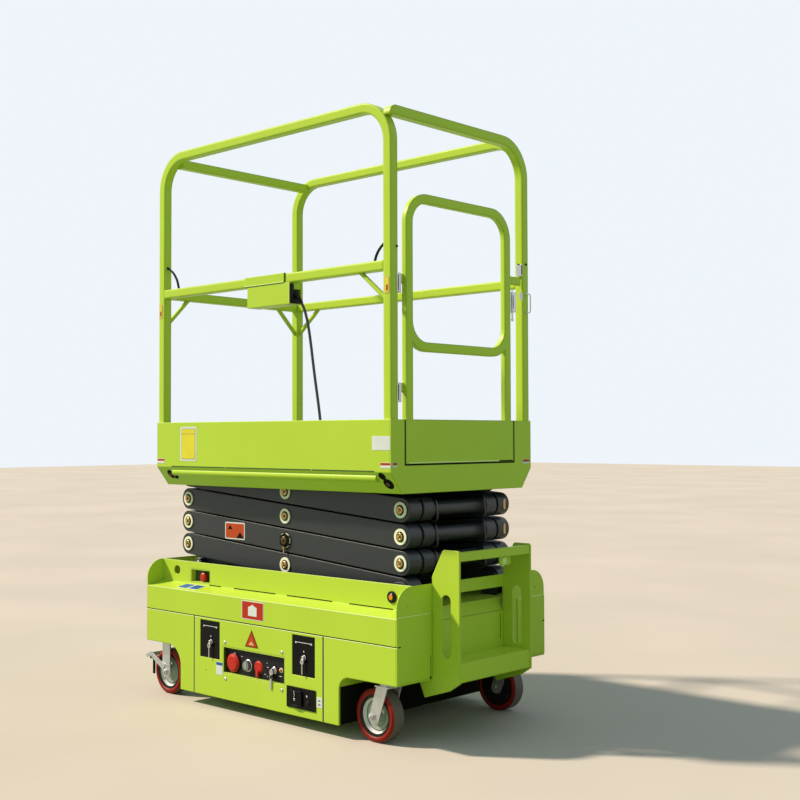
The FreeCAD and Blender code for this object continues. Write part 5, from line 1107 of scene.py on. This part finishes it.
# Painted shade: a flat black disc on each hub's inner side.
for place_name, axle in AXLES.items():
    side_sign = 1 if axle[1] > 0 else -1
    turned("hub_shade_disc_" + place_name, "wheel_" + place_name, black_matt,
           Vector((axle[0], axle[1] - side_sign * WHEEL_HALF, axle[2])), "-y" if side_sign > 0 else "y",
           [(-0.0010, 0.0535), (0.0005, 0.0535), (0.0014, 0.0515), (0.0006, 0.0490), (0.0014, 0.0300)], 36)
print("axle nuts", 4)

# %% [markdown]
# ## Arch shade
# The chassis is open and dark over the wheels. A thin black strip of painted shade follows the folded
# pan from its low wall round the bend and out to the end: one strip, drawn out edge by edge along the
# fold.


# %% Arch shade
PAN_TOP = 0.196
PAN_FOOT = 0.0405
ARCH_SHADE_Y = 0.352


def arch_shade_strip(name, foot_x, bend, end_x):
    """Painted shade: a black strip from the pan's low wall, round a bend of this radius, out to the end."""
    way = 1 if end_x > foot_x else -1
    top = PAN_TOP - 0.0006
    points = [(foot_x, PAN_FOOT), (foot_x, top - bend)]
    for step in range(1, 7):
        turn = math.radians(15 * step)
        points.append((foot_x + way * bend * (1 - math.cos(turn)), top - bend + bend * math.sin(turn)))
    points.append((end_x, top))
    piece = begin(bpy.ops.mesh.primitive_plane_add, size=1, location=(0, 0, 0))
    (x0, z0), (x1, z1) = points[:2]
    for vertex in piece.data.vertices:
        upper = vertex.co.x > 0
        vertex.co = at(x1 if upper else x0, math.copysign(ARCH_SHADE_Y, vertex.co.y), z1 if upper else z0)
    for (x0, z0), (x1, z1) in zip(points[1:], points[2:]):
        edge_x, edge_z = x0 + CHASSIS_X, z0
        pick_edges(piece, lambda a, b: all(abs(v.x - edge_x) < 1e-5 and abs(v.z - edge_z) < 1e-5
                                           for v in (a, b)))
        bpy.ops.mesh.extrude_region_move(TRANSFORM_OT_translate={"value": (x1 - x0, 0, z1 - z0)})
    bpy.ops.mesh.select_all(action="SELECT")
    bpy.ops.mesh.extrude_region_shrink_fatten(TRANSFORM_OT_shrink_fatten={"value": 0.0003})
    bpy.ops.mesh.select_all(action="SELECT")
    bpy.ops.mesh.normals_make_consistent(inside=False)
    return settle(piece, name, "chassis", shadow_gap)


# Painted shade over the entry and back wheels.
arch_shade_strip("arch_shade_entry", 0.3746, 0.042, 0.612)
arch_shade_strip("arch_shade_back", -0.4186, 0.070, -0.612)

# %% [markdown]
# ## Painted edge highlights
# The top of every board and wall shows a thin bright line, where the fold faces the sky. Each is a
# painted highlight: a flat pale strip on its edge.

# %% Painted edge highlights
both_sides("ledge_edge", "chassis", pale_edge, (-0.6165, 0.6165), SHEET, (0.3830, 0.3858), corner=0.001)
both_sides("wall_edge", "chassis", pale_edge, (-0.6140, 0.6140), (-0.2902, -0.2872), (0.4757, 0.4763),
           corner=0.001)
both_sides("board_edge", "platform", pale_edge, (-0.5800, 0.5740), (-0.3406, -0.3368), (0.9697, 0.9703),
           corner=0.001)
plate("kick_edge", "gate", pale_edge, (0.5764, 0.5798), (-0.2755, 0.2455), (0.9697, 0.9703), corner=0.001)
print("edge highlights painted")

# %% [markdown]
# ## Handrail lug
# A small folded lug hangs under the handrail, with a pale ring round its eye.

# %% Handrail lug
plate("handrail_lug", "chassis", lime_paint, (0.7020, 0.7070), (0.012, 0.066), (0.5180, 0.5500), corner=0.010,
      bevel=0.0008)
turned("handrail_lug_eye", "chassis", pale_edge, at(0.7070, 0.034, 0.5330), "x",
       [(-0.0002, 0.0110), (0.0008, 0.0110), (0.0014, 0.0095)], 24)

bpy.ops.object.select_all(action="DESELECT")
